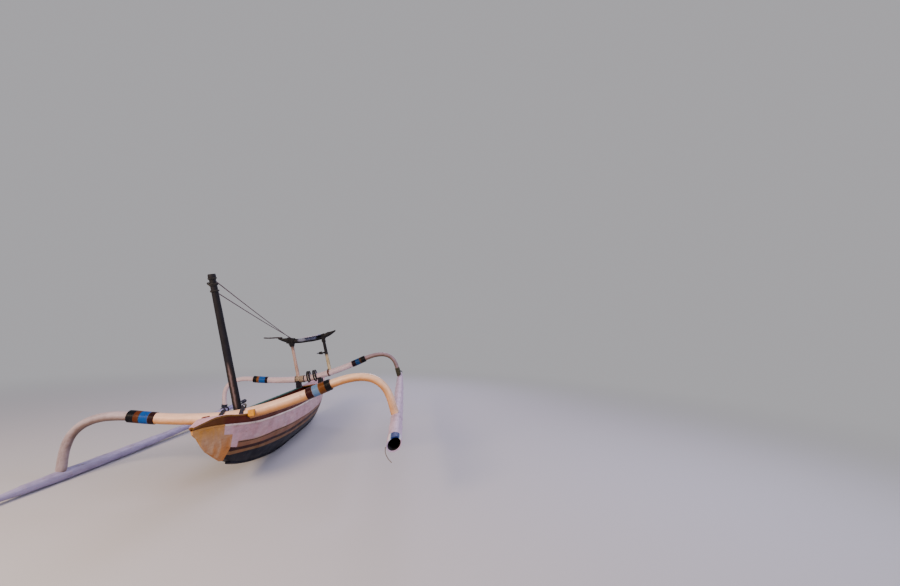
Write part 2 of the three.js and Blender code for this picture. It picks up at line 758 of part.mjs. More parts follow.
function buildYoke(boom) {
  const stops = YOKE.stops;
  const first = stops[0];
  const last = stops[stops.length - 1];
  const rings = stops.map((x) => {
    const full = Math.min(1, (Math.min(x - first, last - x) + 60) / 200);
    const low = yokeLow(x) + DATUM;
    const high = low + YOKE.deep * full;
    const half = (YOKE.wide / 2) * (0.6 + 0.4 * full);
    return [
      at(x, boom.y - half, low),
      at(x, boom.y + half, low),
      at(x, boom.y + half, high),
      at(x, boom.y - half, high),
    ];
  });
  kept.yoke = solidOf(loft(rings));
  addPiece("rest_yoke", geometryOf(kept.yoke), "darkTimber");
}

function buildYokeBoard(boom) {
  const front = boom.y - YOKE_BOARD.ahead;
  const back = boom.y + YOKE_BOARD.behind;
  const under = YOKE.stops.filter((x) => x >= -20 && x <= 330);
  const rings = under.map((x) => {
    const low = yokeLow(x) + YOKE.deep + DATUM + FIT;
    const high = low + YOKE_BOARD.thick;
    return [at(x, front, low), at(x, back, low), at(x, back, high), at(x, front, high)];
  });
  const trim = solidBox([YOKE_BOARD.left, front - 10, 0], [YOKE_BOARD.right, back + 10, 3000]);
  addPiece("yoke_board", geometryOf(solidOf(loft(rings)).intersect(trim)), "greyTimber");
}

function buildRest() {
  const boom = REAR_BOOM;
  buildYoke(boom);
  buildYokeBoard(boom);

  const onYoke = ([x, z]) => at(x, boom.y, z + DATUM);
  const stick = solidBar([onYoke(STICK.near), onYoke(STICK.tip)], STICK.radii, 10);
  const loose = stick.subtract(kept.yoke.translate([-FIT, 0, FIT]));
  addPiece("yoke_stick", geometryOf(biggest(loose)), "greyTimber");

  for (const post of POSTS) {
    const foot = boomOver(boom, post.foot);
    const head = onYoke([post.head, yokeLow(post.head) + 40]);
    const full = solidBar([foot, head], [POST_RADIUS, POST_RADIUS - 4], 18);
    const seated = full.subtract(kept.rear).subtract(kept.yoke.translate([0, 0, -FIT]));
    addPiece(post.name, geometryOf(biggest(seated)), "rawTimber");
    if (post.name !== "rest_post_right") continue;
    const share = (PEG.high + DATUM - foot.z) / (head.z - foot.z);
    const inside = foot.clone().lerp(head, share);
    const peg = solidBar([inside, onYoke(PEG.tip)], PEG.radius, 10);
    addPiece("post_peg", geometryOf(biggest(peg.subtract(full.translate([-FIT, 0, 0])))), "darkTimber");
  }
}

// Short line left hanging from the raised float's fore end, its points chosen by hand.
const TIE = {
  radius: 4,
  points: [
    [1726, -968, 357],
    [1716, -975, 356.5],
    [1708, -982, 352],
    [1703, -987, 343],
    [1700, -990, 330],
    [1699, -991, 312],
    [1702, -991, 290],
    [1709, -991, 268],
    [1718, -990, 248],
    [1729, -989, 230],
    [1741, -988, 215],
  ],
};

function buildTieLine() {
  const section = new THREE.Shape();
  section.absarc(0, 0, TIE.radius, 0, 2 * Math.PI);
  const route = new THREE.CatmullRomCurve3(TIE.points.map((p) => at(...p)));
  const run = { extrudePath: route, steps: 16, curveSegments: 4, bevelEnabled: false };
  const line = solidOf(new THREE.ExtrudeGeometry(section, run)).subtract(kept.float_right);
  addPiece("tie_line", geometryOf(biggest(line)), "cord");
}

buildHull();
buildStrakes();
buildDecks();
buildInside();
buildOutriggers();
buildSeats();
buildRest();
buildRig();
buildTieLine();

// Heel at which the keel strip's edge and the lower float both bear on the floor.
function restingHeel() {
  const heels = [];
  for (let y = FLOAT.front; y <= FLOAT.back; y += 50) {
    const up = floatHeight(FLOATS[0], y);
    const out = floatSide(FLOATS[0], y) - hullLine("foot", BEARING);
    heels.push(Math.acos(floatRadius(FLOATS[0], y) / Math.hypot(up, out)) - Math.atan2(out, up));
  }
  return Math.min(...heels);
}

const root = new THREE.Group();
root.name = "outrigger_canoe";
const heel = restingHeel();
boat.rotation.y = -heel;
root.add(boat);
root.updateMatrixWorld(true);
const box = new THREE.Box3().setFromObject(root, true);
boat.position.set(-(box.min.x + box.max.x) / 2, -(box.min.y + box.max.y) / 2, -box.min.z);
root.updateMatrixWorld(true);

export default root;
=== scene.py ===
import math
from bisect import bisect_right

import bpy
import bmesh
from mathutils import Matrix, Vector, noise


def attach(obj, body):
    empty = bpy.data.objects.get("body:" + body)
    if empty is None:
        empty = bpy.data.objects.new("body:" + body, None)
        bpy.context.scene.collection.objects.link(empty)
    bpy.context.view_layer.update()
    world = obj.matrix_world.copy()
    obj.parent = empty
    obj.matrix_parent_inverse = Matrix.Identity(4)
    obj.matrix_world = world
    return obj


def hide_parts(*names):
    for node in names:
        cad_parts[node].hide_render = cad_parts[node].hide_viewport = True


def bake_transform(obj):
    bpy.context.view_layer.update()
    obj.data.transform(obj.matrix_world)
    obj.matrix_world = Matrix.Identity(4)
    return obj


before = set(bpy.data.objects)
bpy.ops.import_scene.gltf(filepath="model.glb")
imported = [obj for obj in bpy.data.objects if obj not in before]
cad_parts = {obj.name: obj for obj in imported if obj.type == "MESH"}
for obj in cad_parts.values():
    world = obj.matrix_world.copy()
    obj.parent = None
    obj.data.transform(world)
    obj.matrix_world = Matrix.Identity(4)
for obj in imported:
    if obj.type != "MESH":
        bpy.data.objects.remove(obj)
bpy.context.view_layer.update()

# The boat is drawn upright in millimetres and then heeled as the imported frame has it: x to port,
# y from bow to stern, z up from the underside of the keel. Heights in the tables count from the
# middle of the front boom.
boat = {"heel": 0.17767, "middle": (60.1932, -1500.4254, 5.3021), "datum": 680}
mm = 0.001
datum = boat["datum"]
boatToRow = Matrix.Translation(Vector(boat["middle"]) * mm) @ Matrix.Rotation(-boat["heel"], 4, "Y")


def at(x, y, z):
    return Vector((x, y, z))


def lerp(a, b, t):
    return a + (b - a) * t


def clamp(value, low=0.0, high=1.0):
    return max(low, min(high, value))


# Smooth curve through rows of (place, value), steady beyond them.
def smoothRow(rows, place):
    place = clamp(place, rows[0][0], rows[-1][0])
    i = clamp(bisect_right([row[0] for row in rows], place) - 1, 0, len(rows) - 2)

    def slope(k):
        a, b = rows[max(k - 1, 0)], rows[min(k + 1, len(rows) - 1)]
        return (b[1] - a[1]) / (b[0] - a[0])

    span = rows[i + 1][0] - rows[i][0]
    t = (place - rows[i][0]) / span
    t2, t3 = t * t, t * t * t
    return ((2 * t3 - 3 * t2 + 1) * rows[i][1] + (t3 - 2 * t2 + t) * span * slope(i)
            + (3 * t2 - 2 * t3) * rows[i + 1][1] + (t3 - t2) * span * slope(i + 1))


# The camera stands as the photographer did, low off the port bow, fitted to the boat's own lines.
camera = {
    "lens": 15.2,  # 36 mm wide sensor
    "boatPlace": (-2364.3, 4263.6, -808.0),
    "yaw": 0.0795, "trim": 0.0273, "heel": -0.1503, "pitch": 0.1269,
}


def makeCamera():
    turn = (Matrix.Rotation(camera["yaw"], 3, "Z") @ Matrix.Rotation(camera["trim"], 3, "X")
            @ Matrix.Rotation(camera["heel"], 3, "Y")).transposed()
    eye = turn @ -Vector(camera["boatPlace"]) + at(0, 0, datum)
    up, ahead = math.cos(camera["pitch"]), math.sin(camera["pitch"])
    right = turn @ Vector((1, 0, 0))
    top = turn @ Vector((0, -ahead, up))
    back = turn @ Vector((0, -up, -ahead))
    facing = Matrix((right, top, back)).transposed().to_4x4()
    data = bpy.data.cameras.new("camera")
    data.lens = camera["lens"]
    data.sensor_width = 36
    data.clip_start, data.clip_end = 0.05, 100
    eyepiece = bpy.data.objects.new("camera", data)
    bpy.context.scene.collection.objects.link(eyepiece)
    eyepiece.matrix_world = boatToRow @ Matrix.Translation(eye * mm) @ facing
    bpy.context.scene.camera = eyepiece


makeCamera()
print("camera placed")


def linear(hexColour):
    parts = [int(hexColour[i:i + 2], 16) / 255 for i in (1, 3, 5)]
    return tuple(c / 12.92 if c <= 0.04045 else ((c + 0.055) / 1.055) ** 2.4 for c in parts) + (1.0,)


# Adds one node. A hex string becomes a colour, a socket becomes a link. stops are a ramp's
# (place, hex) colours, with blend between them.
def addNode(tree, kind, inputs=None, stops=(), blend="CONSTANT", **settings):
    made = tree.nodes.new("ShaderNode" + kind)
    for key, value in settings.items():
        setattr(made, key, value)
    if stops:
        made.color_ramp.interpolation = blend
        while len(made.color_ramp.elements) < len(stops):
            made.color_ramp.elements.new(0.5)
        for i, (place, colour) in enumerate(sorted(stops)):
            made.color_ramp.elements[i].position = place
            made.color_ramp.elements[i].color = linear(colour)
    for key, value in (inputs or {}).items():
        if isinstance(value, bpy.types.NodeSocket):
            tree.links.new(value, made.inputs[key])
        else:
            made.inputs[key].default_value = linear(value) if isinstance(value, str) else value
    return made


def startMaterial(name, **values):
    material = bpy.data.materials.new(name)
    material.use_nodes = True
    tree = material.node_tree
    surface = tree.nodes["Principled BSDF"]
    for key, value in values.items():
        surface.inputs[key].default_value = value
    return material, tree, surface


# Where a pattern lies: the upright boat's own axes, or the UV along a round piece.
def patternPlace(tree, space):
    if space == "UV":
        return addNode(tree, "TexCoord").outputs["UV"]
    back = Matrix.Rotation(boat["heel"], 3, "Y") @ (Vector(boat["middle"]) * -mm)
    return addNode(tree, "Mapping", {"Vector": addNode(tree, "TexCoord").outputs["Object"],
                                     "Rotation": (0, boat["heel"], 0), "Location": back}).outputs[0]


# Oil paint over timber, brushed on outdoors. The eye gets faint fibre under a soft sheen, lap
# marks along the piece, grime in patches, and chips down to bare wood. A fibre is 3 mm wide here,
# several times the real one, so that it shows at all.
def oilPaint(name, paint, gloss=0.42, wear=0.5, under="#7A5B40", grime="#4A3A34", along="Y",
             space="Object", colourOf=None, grimeShare=0.35, fibre=3.0, patch=170.0, chip=16.0):
    material, tree, surface = startMaterial(name, IOR=1.5)
    surface.inputs["Specular IOR Level"].default_value = 0.2  # chalked by the sun
    place = patternPlace(tree, space)
    stretch = {"X": (0.035, 1, 1), "Y": (1, 0.035, 1), "Z": (1, 1, 0.035)}[along]
    along3 = addNode(tree, "Mapping", {"Vector": place, "Scale": stretch}).outputs[0]
    grain = addNode(tree, "TexNoise", {"Vector": along3, "Scale": 1 / (fibre * mm), "Detail": 5.0,
                                       "Roughness": 0.62}).outputs[0]
    lapStretch = tuple(0.16 if s < 1 else 1 for s in stretch)
    lapPlace = addNode(tree, "Mapping", {"Vector": place, "Scale": lapStretch}).outputs[0]
    laps = addNode(tree, "TexNoise", {"Vector": lapPlace, "Scale": 1 / (28 * mm), "Detail": 3.0,
                                      "Roughness": 0.55}).outputs[0]
    patches = addNode(tree, "TexNoise", {"Vector": place, "Scale": 1 / (patch * mm), "Detail": 5.0,
                                         "Roughness": 0.6}).outputs[0]
    flecks = addNode(tree, "TexNoise", {"Vector": place, "Scale": 1 / (chip * mm), "Detail": 8.0,
                                        "Roughness": 0.7, "Distortion": 0.3}).outputs[0]
    base = colourOf(tree, place) if colourOf else paint
    lapDark = addNode(tree, "MapRange", {"Value": laps, 1: 0.3, 2: 0.72, 3: 0.0, 4: 0.30}).outputs[0]
    coat = addNode(tree, "Mix", {0: lapDark, 6: base, 7: "#8C8088"}, data_type="RGBA",
                   blend_type="MULTIPLY").outputs[2]
    fibreDark = addNode(tree, "MapRange", {"Value": grain, 1: 0.52, 2: 0.78, 3: 0.0, 4: 0.45}).outputs[0]
    coat = addNode(tree, "Mix", {0: fibreDark, 6: coat, 7: grime}, data_type="RGBA",
                   blend_type="MULTIPLY").outputs[2]
    stain = addNode(tree, "MapRange", {"Value": patches, 1: 0.5, 2: 0.8, 3: 0.0, 4: grimeShare}).outputs[0]
    coat = addNode(tree, "Mix", {0: stain, 6: coat, 7: grime}, data_type="RGBA",
                   blend_type="MULTIPLY").outputs[2]
    rubbed = addNode(tree, "Math", {0: flecks, 1: laps}, operation="ADD").outputs[0]
    edge = 1.32 - 0.16 * wear
    bare = addNode(tree, "MapRange", {"Value": rubbed, 1: edge, 2: edge + 0.025, 3: 0.0, 4: 0.85}).outputs[0]
    coat = addNode(tree, "Mix", {0: bare, 6: coat, 7: under}, data_type="RGBA").outputs[2]
    tree.links.new(coat, surface.inputs["Base Color"])
    sheen = addNode(tree, "MapRange", {"Value": patches, 1: 0.3, 2: 0.7, 3: gloss - 0.07, 4: gloss + 0.16})
    dull = addNode(tree, "Mix", {0: bare, 2: sheen.outputs[0], 3: 0.85}).outputs[0]
    tree.links.new(dull, surface.inputs["Roughness"])
    ridge = addNode(tree, "Math", {0: grain, 1: 0.6, 2: laps}, operation="MULTIPLY_ADD").outputs[0]
    relief = addNode(tree, "Math", {0: bare, 1: -0.9, 2: ridge}, operation="MULTIPLY_ADD").outputs[0]
    bump = addNode(tree, "Bump", {"Height": relief, "Strength": 0.55, "Distance": 1.4 * mm})
    tree.links.new(bump.outputs[0], surface.inputs["Normal"])
    return material


# Sawn or adzed timber left bare outdoors. The eye gets silvered grey brown streaks along the
# grain, dark checks and no shine. Growth rings show about 9 mm apart on a sawn face.
def bareTimber(name, pale, dark, check="#1E1612", rough=0.78, along="Y", space="Object", ring=9.0,
               silver="#8A8482", silverShare=0.4):
    material, tree, surface = startMaterial(name, IOR=1.5)
    place = patternPlace(tree, space)
    stretch = {"X": (0.05, 1, 1), "Y": (1, 0.05, 1), "Z": (1, 1, 0.05)}[along]
    along3 = addNode(tree, "Mapping", {"Vector": place, "Scale": stretch}).outputs[0]
    rings = addNode(tree, "TexNoise", {"Vector": along3, "Scale": 1 / (ring * mm), "Detail": 4.0,
                                       "Distortion": 0.8}).outputs[0]
    hairs = addNode(tree, "TexNoise", {"Vector": along3, "Scale": 1 / (1.6 * mm), "Detail": 5.0,
                                       "Roughness": 0.7}).outputs[0]
    patches = addNode(tree, "TexNoise", {"Vector": place, "Scale": 1 / (120 * mm), "Detail": 4.0}).outputs[0]
    cracks = addNode(tree, "TexNoise", {"Vector": along3, "Scale": 1 / (22 * mm), "Detail": 2.0}).outputs[0]
    wood = addNode(tree, "ValToRGB", {0: rings}, [(0.3, pale), (0.48, dark), (0.56, pale), (0.7, dark)],
                   "EASE").outputs[0]
    grey = addNode(tree, "MapRange", {"Value": patches, 1: 0.35, 2: 0.7, 3: 0.0, 4: silverShare}).outputs[0]
    wood = addNode(tree, "Mix", {0: grey, 6: wood, 7: silver}, data_type="RGBA").outputs[2]
    hair = addNode(tree, "MapRange", {"Value": hairs, 1: 0.5, 2: 0.8, 3: 0.0, 4: 0.5}).outputs[0]
    wood = addNode(tree, "Mix", {0: hair, 6: wood, 7: check}, data_type="RGBA").outputs[2]
    split = addNode(tree, "MapRange", {"Value": cracks, 1: 0.68, 2: 0.70, 3: 0.0, 4: 0.85}).outputs[0]
    wood = addNode(tree, "Mix", {0: split, 6: wood, 7: check}, data_type="RGBA").outputs[2]
    tree.links.new(wood, surface.inputs["Base Color"])
    surface.inputs["Roughness"].default_value = rough
    surface.inputs["Specular IOR Level"].default_value = 0.25  # dry open grain
    relief = addNode(tree, "Math", {0: split, 1: -1.5, 2: hairs}, operation="MULTIPLY_ADD").outputs[0]
    bump = addNode(tree, "Bump", {"Height": relief, "Strength": 0.6, "Distance": 1.2 * mm})
    tree.links.new(bump.outputs[0], surface.inputs["Normal"])
    return material


# Three-strand laid rope. The eye gets slanted strands with hairy, dusty crowns, and grooves between
# the strands painted near black as shade. Strands are a third of the rope across.
def laidRope(name, fibre, dust, strand):
    material, tree, surface = startMaterial(name, IOR=1.46)
    surface.inputs["Roughness"].default_value = 0.9
    surface.inputs["Specular IOR Level"].default_value = 0.25
    surface.inputs["Sheen Weight"].default_value = 0.12
    surface.inputs["Sheen Roughness"].default_value = 0.6
    place = addNode(tree, "TexCoord").outputs["UV"]
    slant = addNode(tree, "Mapping", {"Vector": place, "Rotation": (0, 0, 0.75)}).outputs[0]
    lay = addNode(tree, "TexWave", {"Vector": slant, "Scale": 1 / (strand * mm) / 3.1, "Distortion": 0.6},
                  wave_type="BANDS", bands_direction="X", wave_profile="SIN").outputs[0]
    hairs = addNode(tree, "TexNoise", {"Vector": slant, "Scale": 1 / (1.2 * mm), "Detail": 4.0}).outputs[0]
    worn = addNode(tree, "TexNoise", {"Vector": place, "Scale": 1 / (45 * mm), "Detail": 3.0}).outputs[0]
    # painted shade: the grooves between the strands go near black
    base = addNode(tree, "Mix", {0: lay, 6: "#0C0A10", 7: fibre}, data_type="RGBA").outputs[2]
    dusty = addNode(tree, "MapRange", {"Value": worn, 1: 0.45, 2: 0.7, 3: 0.0, 4: 0.5}).outputs[0]
    base = addNode(tree, "Mix", {0: dusty, 6: base, 7: dust}, data_type="RGBA").outputs[2]
    tree.links.new(base, surface.inputs["Base Color"])
    relief = addNode(tree, "Math", {0: hairs, 1: 0.3, 2: lay}, operation="MULTIPLY_ADD").outputs[0]
    bump = addNode(tree, "Bump", {"Height": relief, "Strength": 0.8, "Distance": 0.9 * mm})
    tree.links.new(bump.outputs[0], surface.inputs["Normal"])
    return material


# Rings of equal length skinned into quads. across and runs give the UV in mm of a ring's points
# and of the rings; without them it is girth and length.
def skin(rings, across=None, runs=None):
    count = len(rings[0])
    verts = [p for ring in rings for p in ring]
    if across is None:
        widest = max(rings, key=lambda ring: (ring[0] - ring[count // 2]).length)
        across = [0.0]
        for i in range(count):
            across.append(across[-1] + (widest[(i + 1) % count] - widest[i]).length)
    if runs is None:
        middles = [sum(ring, Vector()) / count for ring in rings]
        runs = [0.0]
        for a, b in zip(middles, middles[1:]):
            runs.append(runs[-1] + (b - a).length)
    faces, uvs = [], []
    for r in range(len(rings) - 1):
        for i in range(count):
            j = (i + 1) % count
            faces.append((r * count + i, r * count + j, (r + 1) * count + j, (r + 1) * count + i))
            uvs.append(((across[i], runs[r]), (across[i + 1], runs[r]),
                        (across[i + 1], runs[r + 1]), (across[i], runs[r + 1])))
    for ring, start in ((rings[0], 0), (rings[-1], len(verts) - count)):
        middle = sum(ring, Vector()) / count
        side = (ring[0] - middle).normalized()
        other = side.cross((ring[1] - middle)).cross(side).normalized()
        faces.append(tuple(range(start, start + count)))
        uvs.append([((p - middle).dot(side), (p - middle).dot(other)) for p in ring])
    return verts, faces, uvs


def join(parts):
    verts, faces, uvs = [], [], []
    for partVerts, partFaces, partUvs in parts:
        start = len(verts)
        verts += partVerts
        faces += [tuple(i + start for i in face) for face in partFaces]
        uvs += partUvs
    return verts, faces, uvs


# Bar along a path. shape(i, turn) adds to the radius, in mm.
def tube(path, radii, sides=20, shape=None, side=(0, 1, 0)):
    rings = []
    side = Vector(side)
    last = len(path) - 1
    for i, middle in enumerate(path):
        along = (path[min(i + 1, last)] - path[max(i - 1, 0)]).normalized()
        side = (side - along * side.dot(along)).normalized()
        other = along.cross(side)
        radius = radii[i] if isinstance(radii, (list, tuple)) else radii
        ring = []
        for k in range(sides):
            turn = 2 * math.pi * k / sides
            grown = radius + (shape(i, turn) if shape else 0)
            ring.append(middle + side * math.cos(turn) * grown + other * math.sin(turn) * grown)
        rings.append(ring)
    return skin(rings)


# Points of a path through a few given ones, step mm apart.
def smoothPath(points, step=12.0):
    points = [Vector(p) for p in points]
    path = [points[0]]
    for i in range(len(points) - 1):
        a, b = points[i], points[i + 1]
        before = points[i - 1] if i else a * 2 - b
        after = points[i + 2] if i + 2 < len(points) else b * 2 - a
        pieces = max(1, round((b - a).length / step))
        for k in range(1, pieces + 1):
            t = k / pieces
            path.append(0.5 * ((2 * a) + (b - before) * t + (2 * before - 5 * a + 4 * b - after) * t * t
                               + (3 * a - before - 3 * b + after) * t ** 3))
    return path


# Path through points given from one place.
def fromPoint(start, points, step):
    return smoothPath([start + at(*p) for p in points], step)


coil = {"steps": 22, "sides": 8}  # points in one turn, and round the rope itself


# Rope wound round a core. core(t) gives the middle for t 0..1 and reach(t, turn) the distance.
def winding(core, reach, rope, turns, side, start=0.0):
    path = []
    total = int(turns * coil["steps"])
    for i in range(total + 1):
        t = i / total
        middle = core(t)
        along = (core(min(t + 0.01, 1)) - core(max(t - 0.01, 0))).normalized()
        flat = (Vector(side) - along * Vector(side).dot(along)).normalized()
        other = along.cross(flat)
        turn = start + 2 * math.pi * i / coil["steps"]
        path.append(middle + (flat * math.cos(turn) + other * math.sin(turn)) * reach(t, turn))
    return tube(path, rope, coil["sides"], side=side)


def boxPart(low, high):
    x0, y0, z0 = low
    x1, y1, z1 = high
    rings = [[at(x0, y, z0), at(x1, y, z0), at(x1, y, z1), at(x0, y, z1)] for y in (y0, y1)]
    return skin(rings)


def makeMesh(name, part, materials, smooth=35, faceMaterial=0):
    verts, faces, uvs = part
    mesh = bpy.data.meshes.new(name)
    mesh.from_pydata([boatToRow @ (p * mm) for p in verts], [], faces)
    layer = mesh.uv_layers.new(name="girth")
    layer.data.foreach_set("uv", [c * mm for face in uvs for uv in face for c in uv])
    shell = bmesh.new()
    shell.from_mesh(mesh)
    bmesh.ops.recalc_face_normals(shell, faces=shell.faces)
    shell.to_mesh(mesh)
    shell.free()
    for material in materials:
        mesh.materials.append(material)
    mesh.polygons.foreach_set("material_index", [faceMaterial] * len(mesh.polygons))
    smoothMesh(mesh, smooth)
    piece = bpy.data.objects.new(name, mesh)
    bpy.context.scene.collection.objects.link(piece)
    return piece


def smoothMesh(mesh, angle=35):
    mesh.polygons.foreach_set("use_smooth", [True] * len(mesh.polygons))
    mesh.set_sharp_from_angle(angle=math.radians(angle))


# Cuts one mesh with another, or keeps what they share, and drops the cutter.
def carve(piece, cutter, operation="DIFFERENCE"):
    cut = piece.modifiers.new("carve", "BOOLEAN")
    cut.operation = operation
    cut.object = cutter
    cut.solver = "EXACT"
    bpy.context.view_layer.update()
    shaped = piece.evaluated_get(bpy.context.evaluated_depsgraph_get())
    carved = bpy.data.meshes.new_from_object(shaped)
    piece.modifiers.clear()
    piece.data = carved
    smoothMesh(carved)
    bpy.data.objects.remove(cutter)
    return piece


def settle(piece, replaces, body="hull"):
    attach(piece, body)
    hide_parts(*replaces)
    return piece


def roundEdges(piece, width, segments=2, angle=40):
    bevel = piece.modifiers.new("edges", "BEVEL")
    bevel.width = width * mm
    bevel.segments = segments
    bevel.limit_method = "ANGLE"
    bevel.angle_limit = math.radians(angle)
    return piece


def wobble(point, size, amount, seed=0.0):
    return noise.noise(point / size + Vector((seed, seed * 1.7, seed * 0.3))) * amount


# The short line left hanging from the raised float's fore end, its route listed point by point.
tieLine = {
    "radius": 4,
    "points": [
        (1726, -968, 357), (1716, -975, 356.5), (1708, -982, 352), (1703, -987, 343), (1700, -990, 330),
        (1699, -991, 312), (1702, -991, 290), (1709, -991, 268), (1718, -990, 248), (1729, -989, 230),
        (1741, -988, 215),
    ],
}

# Floats. Each runs in towards the stern by toe and climbs by slope and rise. radii: y and radius.
floats = {
    "span": 1745, "drop": 315, "front": -950, "back": 3640, "bevel": 0.7,
    "left": {"sign": -1, "toe": 0.069, "slope": -0.012, "rise": 8.7e-6,
             "radii": [(-950, 25), (-530, 34), (-300, 47), (-80, 56), (600, 57), (1100, 55), (1600, 50),
                       (2200, 46), (2930, 43), (3640, 36)]},
    "right": {"sign": 1, "toe": 0.034, "slope": 0.012, "rise": 8.0e-6,
              "radii": [(-950, 67), (-530, 67), (600, 67), (1100, 66), (1600, 66), (2200, 63), (2930, 54),
                        (3640, 40)]},
}


def floatPoint(name, y):
    one = floats[name]
    height = datum - floats["drop"] + one["slope"] * y + one["rise"] * max(y, 0) ** 2
    return at(one["sign"] * (floats["span"] - one["toe"] * y), y, height)


def floatRadius(name, y):
    return smoothRow(floats[name]["radii"], y)


# Twisted twine, bleached to a greyish straw, with a slanting lay.
twine = laidRope("bleached jute twine", "#A8998A", "#8E8078", strand=2.6)


def makeTieLine():
    route = smoothPath(tieLine["points"], 7)
    free = [p for p in route if (p - floatPoint("right", p.y)).length > floatRadius("right", p.y) + 0.3]
    piece = makeMesh("tieLine", tube(free, tieLine["radius"] - 0.2, 12, side=(0, 1, 0)), [twine])
    settle(piece, ["tie_line"])


makeTieLine()
print("tie line hung")

# Hull lines as drawn in the source: heights of keel, log and sheer from the front boom's middle.
hullRows = [  # y, halfLog, flare, foot, keel, log, sheer, full
    (-740, 9, 5, 5, -5, 30, 62, 1.3), (-670, 22, 9, 8, -63, 30, 71, 1.3),
    (-583, 42, 13, 10, -184, 22, 81, 1.35), (-500, 62, 17, 12, -245, 11, 89, 1.4),
    (-368, 98, 21, 17, -334, -12, 78, 1.5), (-216, 140, 23, 26, -424, -44, 42, 1.7),
    (0, 188, 22, 30, -500, -86, 6, 2.0), (184, 220, 20, 30, -548, -112, -16, 2.2),
    (460, 254, 16, 30, -600, -132, -34, 2.5), (800, 278, 12, 30, -650, -152, -50, 2.8),
    (1200, 292, 10, 30, -680, -170, -64, 3.0), (1800, 292, 8, 30, -680, -184, -78, 3.0),
    (2400, 262, 8, 30, -680, -188, -84, 2.8), (2650, 238, 8, 30, -664, -184, -84, 2.6),
    (2930, 202, 8, 30, -624, -172, -80, 2.3), (3200, 160, 8, 30, -552, -150, -64, 2.0),
    (3500, 106, 8, 26, -430, -112, -34, 1.7), (3750, 58, 7, 16, -286, -70, 4, 1.5),
    (3900, 30, 6, 9, -165, -38, 32, 1.4), (4000, 11, 5, 5, -50, 4, 54, 1.3),
]
hullColumns = {
    name: [(row[0], row[i + 1]) for row in hullRows]
    for i, name in enumerate(("halfLog", "flare", "foot", "keel", "log", "sheer", "full"))
}
# hewn and adzed are how uneven the log is outside and inside, cutHalf half the width of a cutter.
hull = {
    "bow": -740, "stern": 4000, "step": 62, "stripThick": 22, "wall": 26, "floor": 46, "strake": 24,
    "capThick": 18, "capOut": 9, "capIn": 8, "cavity": (72, 2850), "sternJoint": 3640, "seam": 1.2,
    "foreDeckEnd": -78, "aftDeckStart": 3010, "hewn": 1.2, "adzed": 2.0, "cutHalf": 420,
    "bowJoint": [(-1200, 300), (-372, 300), (-366, -112), (-262, -140), (-262, -268), (-335, -420),
                 (-335, -900), (-1200, -900)],
}
# Painted lines along the side: y, then the heights of the dark line, of the top and foot of the
# maroon stripe, and of the foot of the ochre one.
stripeRows = [
    (-260, -215, -263, -304, -337), (-155, -238, -298, -323, -357), (76, -284, -339, -367, -396),
    (277, -303, -367, -395, -430), (540, -315, -388, -415, -460), (860, -340, -412, -441, -479),
    (1280, -359, -420, -456, -498), (1820, -374, -417, -456, -512), (2400, -374, -412, -450, -505),
    (2800, -362, -397, -430, -480), (3200, -305, -338, -366, -410), (3640, -188, -211, -235, -265),
]


def hullLine(column, y):
    return smoothRow(hullColumns[column], y)


def keelAt(y):
    return max(hullLine("keel", y) + datum, 0)


def logAt(y):
    return hullLine("log", y) + datum


def sheerAt(y):
    return hullLine("sheer", y) + datum


def halfSheer(y):
    return hullLine("halfLog", y) + hullLine("flare", y)


def breadth(y, share):
    foot = hullLine("foot", y)
    return foot + (hullLine("halfLog", y) - foot) * (1 - (1 - clamp(share)) ** hullLine("full", y))


def shareRows(column):
    rows = []
    for row in stripeRows:
        y, high = row[0], row[column]
        low = hullLine("keel", y) + hull["stripThick"]
        rows.append((y, (high - low) / (hullLine("log", y) - low)))
    return rows


stripeShares = [shareRows(column) for column in (4, 3, 2, 1)]  # from the keel up


# Shares of the log's height at y where a ring has a point, each with its place among the stripes.
def sidePoints(y):
    lines = [0.0] + [smoothRow(rows, y) for rows in stripeShares] + [1.0]
    cuts = (8, 2, 2, 4, 8)
    points = [(0.0, 0.0)]
    for k, count in enumerate(cuts):
        for i in range(1, count + 1):
            t = i / count
            if k == 0:
                t = t ** 1.5  # closer together round the bilge
            points.append((lerp(lines[k], lines[k + 1], t), k + t))
    return points


def stations(low, high, step):
    count = max(2, round((high - low) / step))
    return [lerp(low, high, i / count) for i in range(count + 1)]


def logRings(lift, ys):
    rings = []
    for y in ys:
        low = keelAt(y) + lift
        high = logAt(y)
        port = []
        for share, stripe in sidePoints(y):
            x, z = breadth(y, share), low + (high - low) * share
            hewn = 0 if share in (0.0, 1.0) else wobble(at(x, y, z), 130, hull["hewn"])
            port.append(at(x + hewn, y, z))
        rings.append(port + [at(-p.x, y, p.z) for p in reversed(port)])
    return rings


def logForm(lift):
    ys = stations(hull["bow"], hull["stern"], hull["step"])
    marks = [stripe for share, stripe in sidePoints(0)]
    across = [1000 * m for m in marks] + [1000 * m for m in reversed(marks)] + [0]
    return skin(logRings(lift, ys), across=across, runs=ys)


def cavityForm(inset, rise):
    rings = []
    shares = [i / 16 for i in range(17)]
    for y in stations(hull["cavity"][0], hull["cavity"][1], 90):
        low = keelAt(y) + hull["stripThick"] + rise
        high = logAt(y)
        side = [(max(breadth(y, s) - inset, 4), low + (high - low) * s) for s in shares]
        side.append((side[-1][0], high + 260))
        port = [at(x + wobble(at(x, y, z), 90, hull["adzed"], 9), y, z) for x, z in side]
        rings.append(port + [at(-x, y, z) for x, z in reversed(side)])
    return skin(rings)


# All that lies ahead of the stem block's joint, moved back by gap.
def noseCut(gap):
    outline = [(y + gap, z + datum) for y, z in hull["bowJoint"]]
    return skin([[at(x, y, z) for y, z in outline] for x in (-hull["cutHalf"], hull["cutHalf"])])


# All that lies behind the stern block's joint, moved forward by gap.
def tailCut(gap):
    return boxPart((-hull["cutHalf"], hull["sternJoint"] - gap, -50), (hull["cutHalf"], 4300, 1200))


lilacWhite = "#C6A6AA"


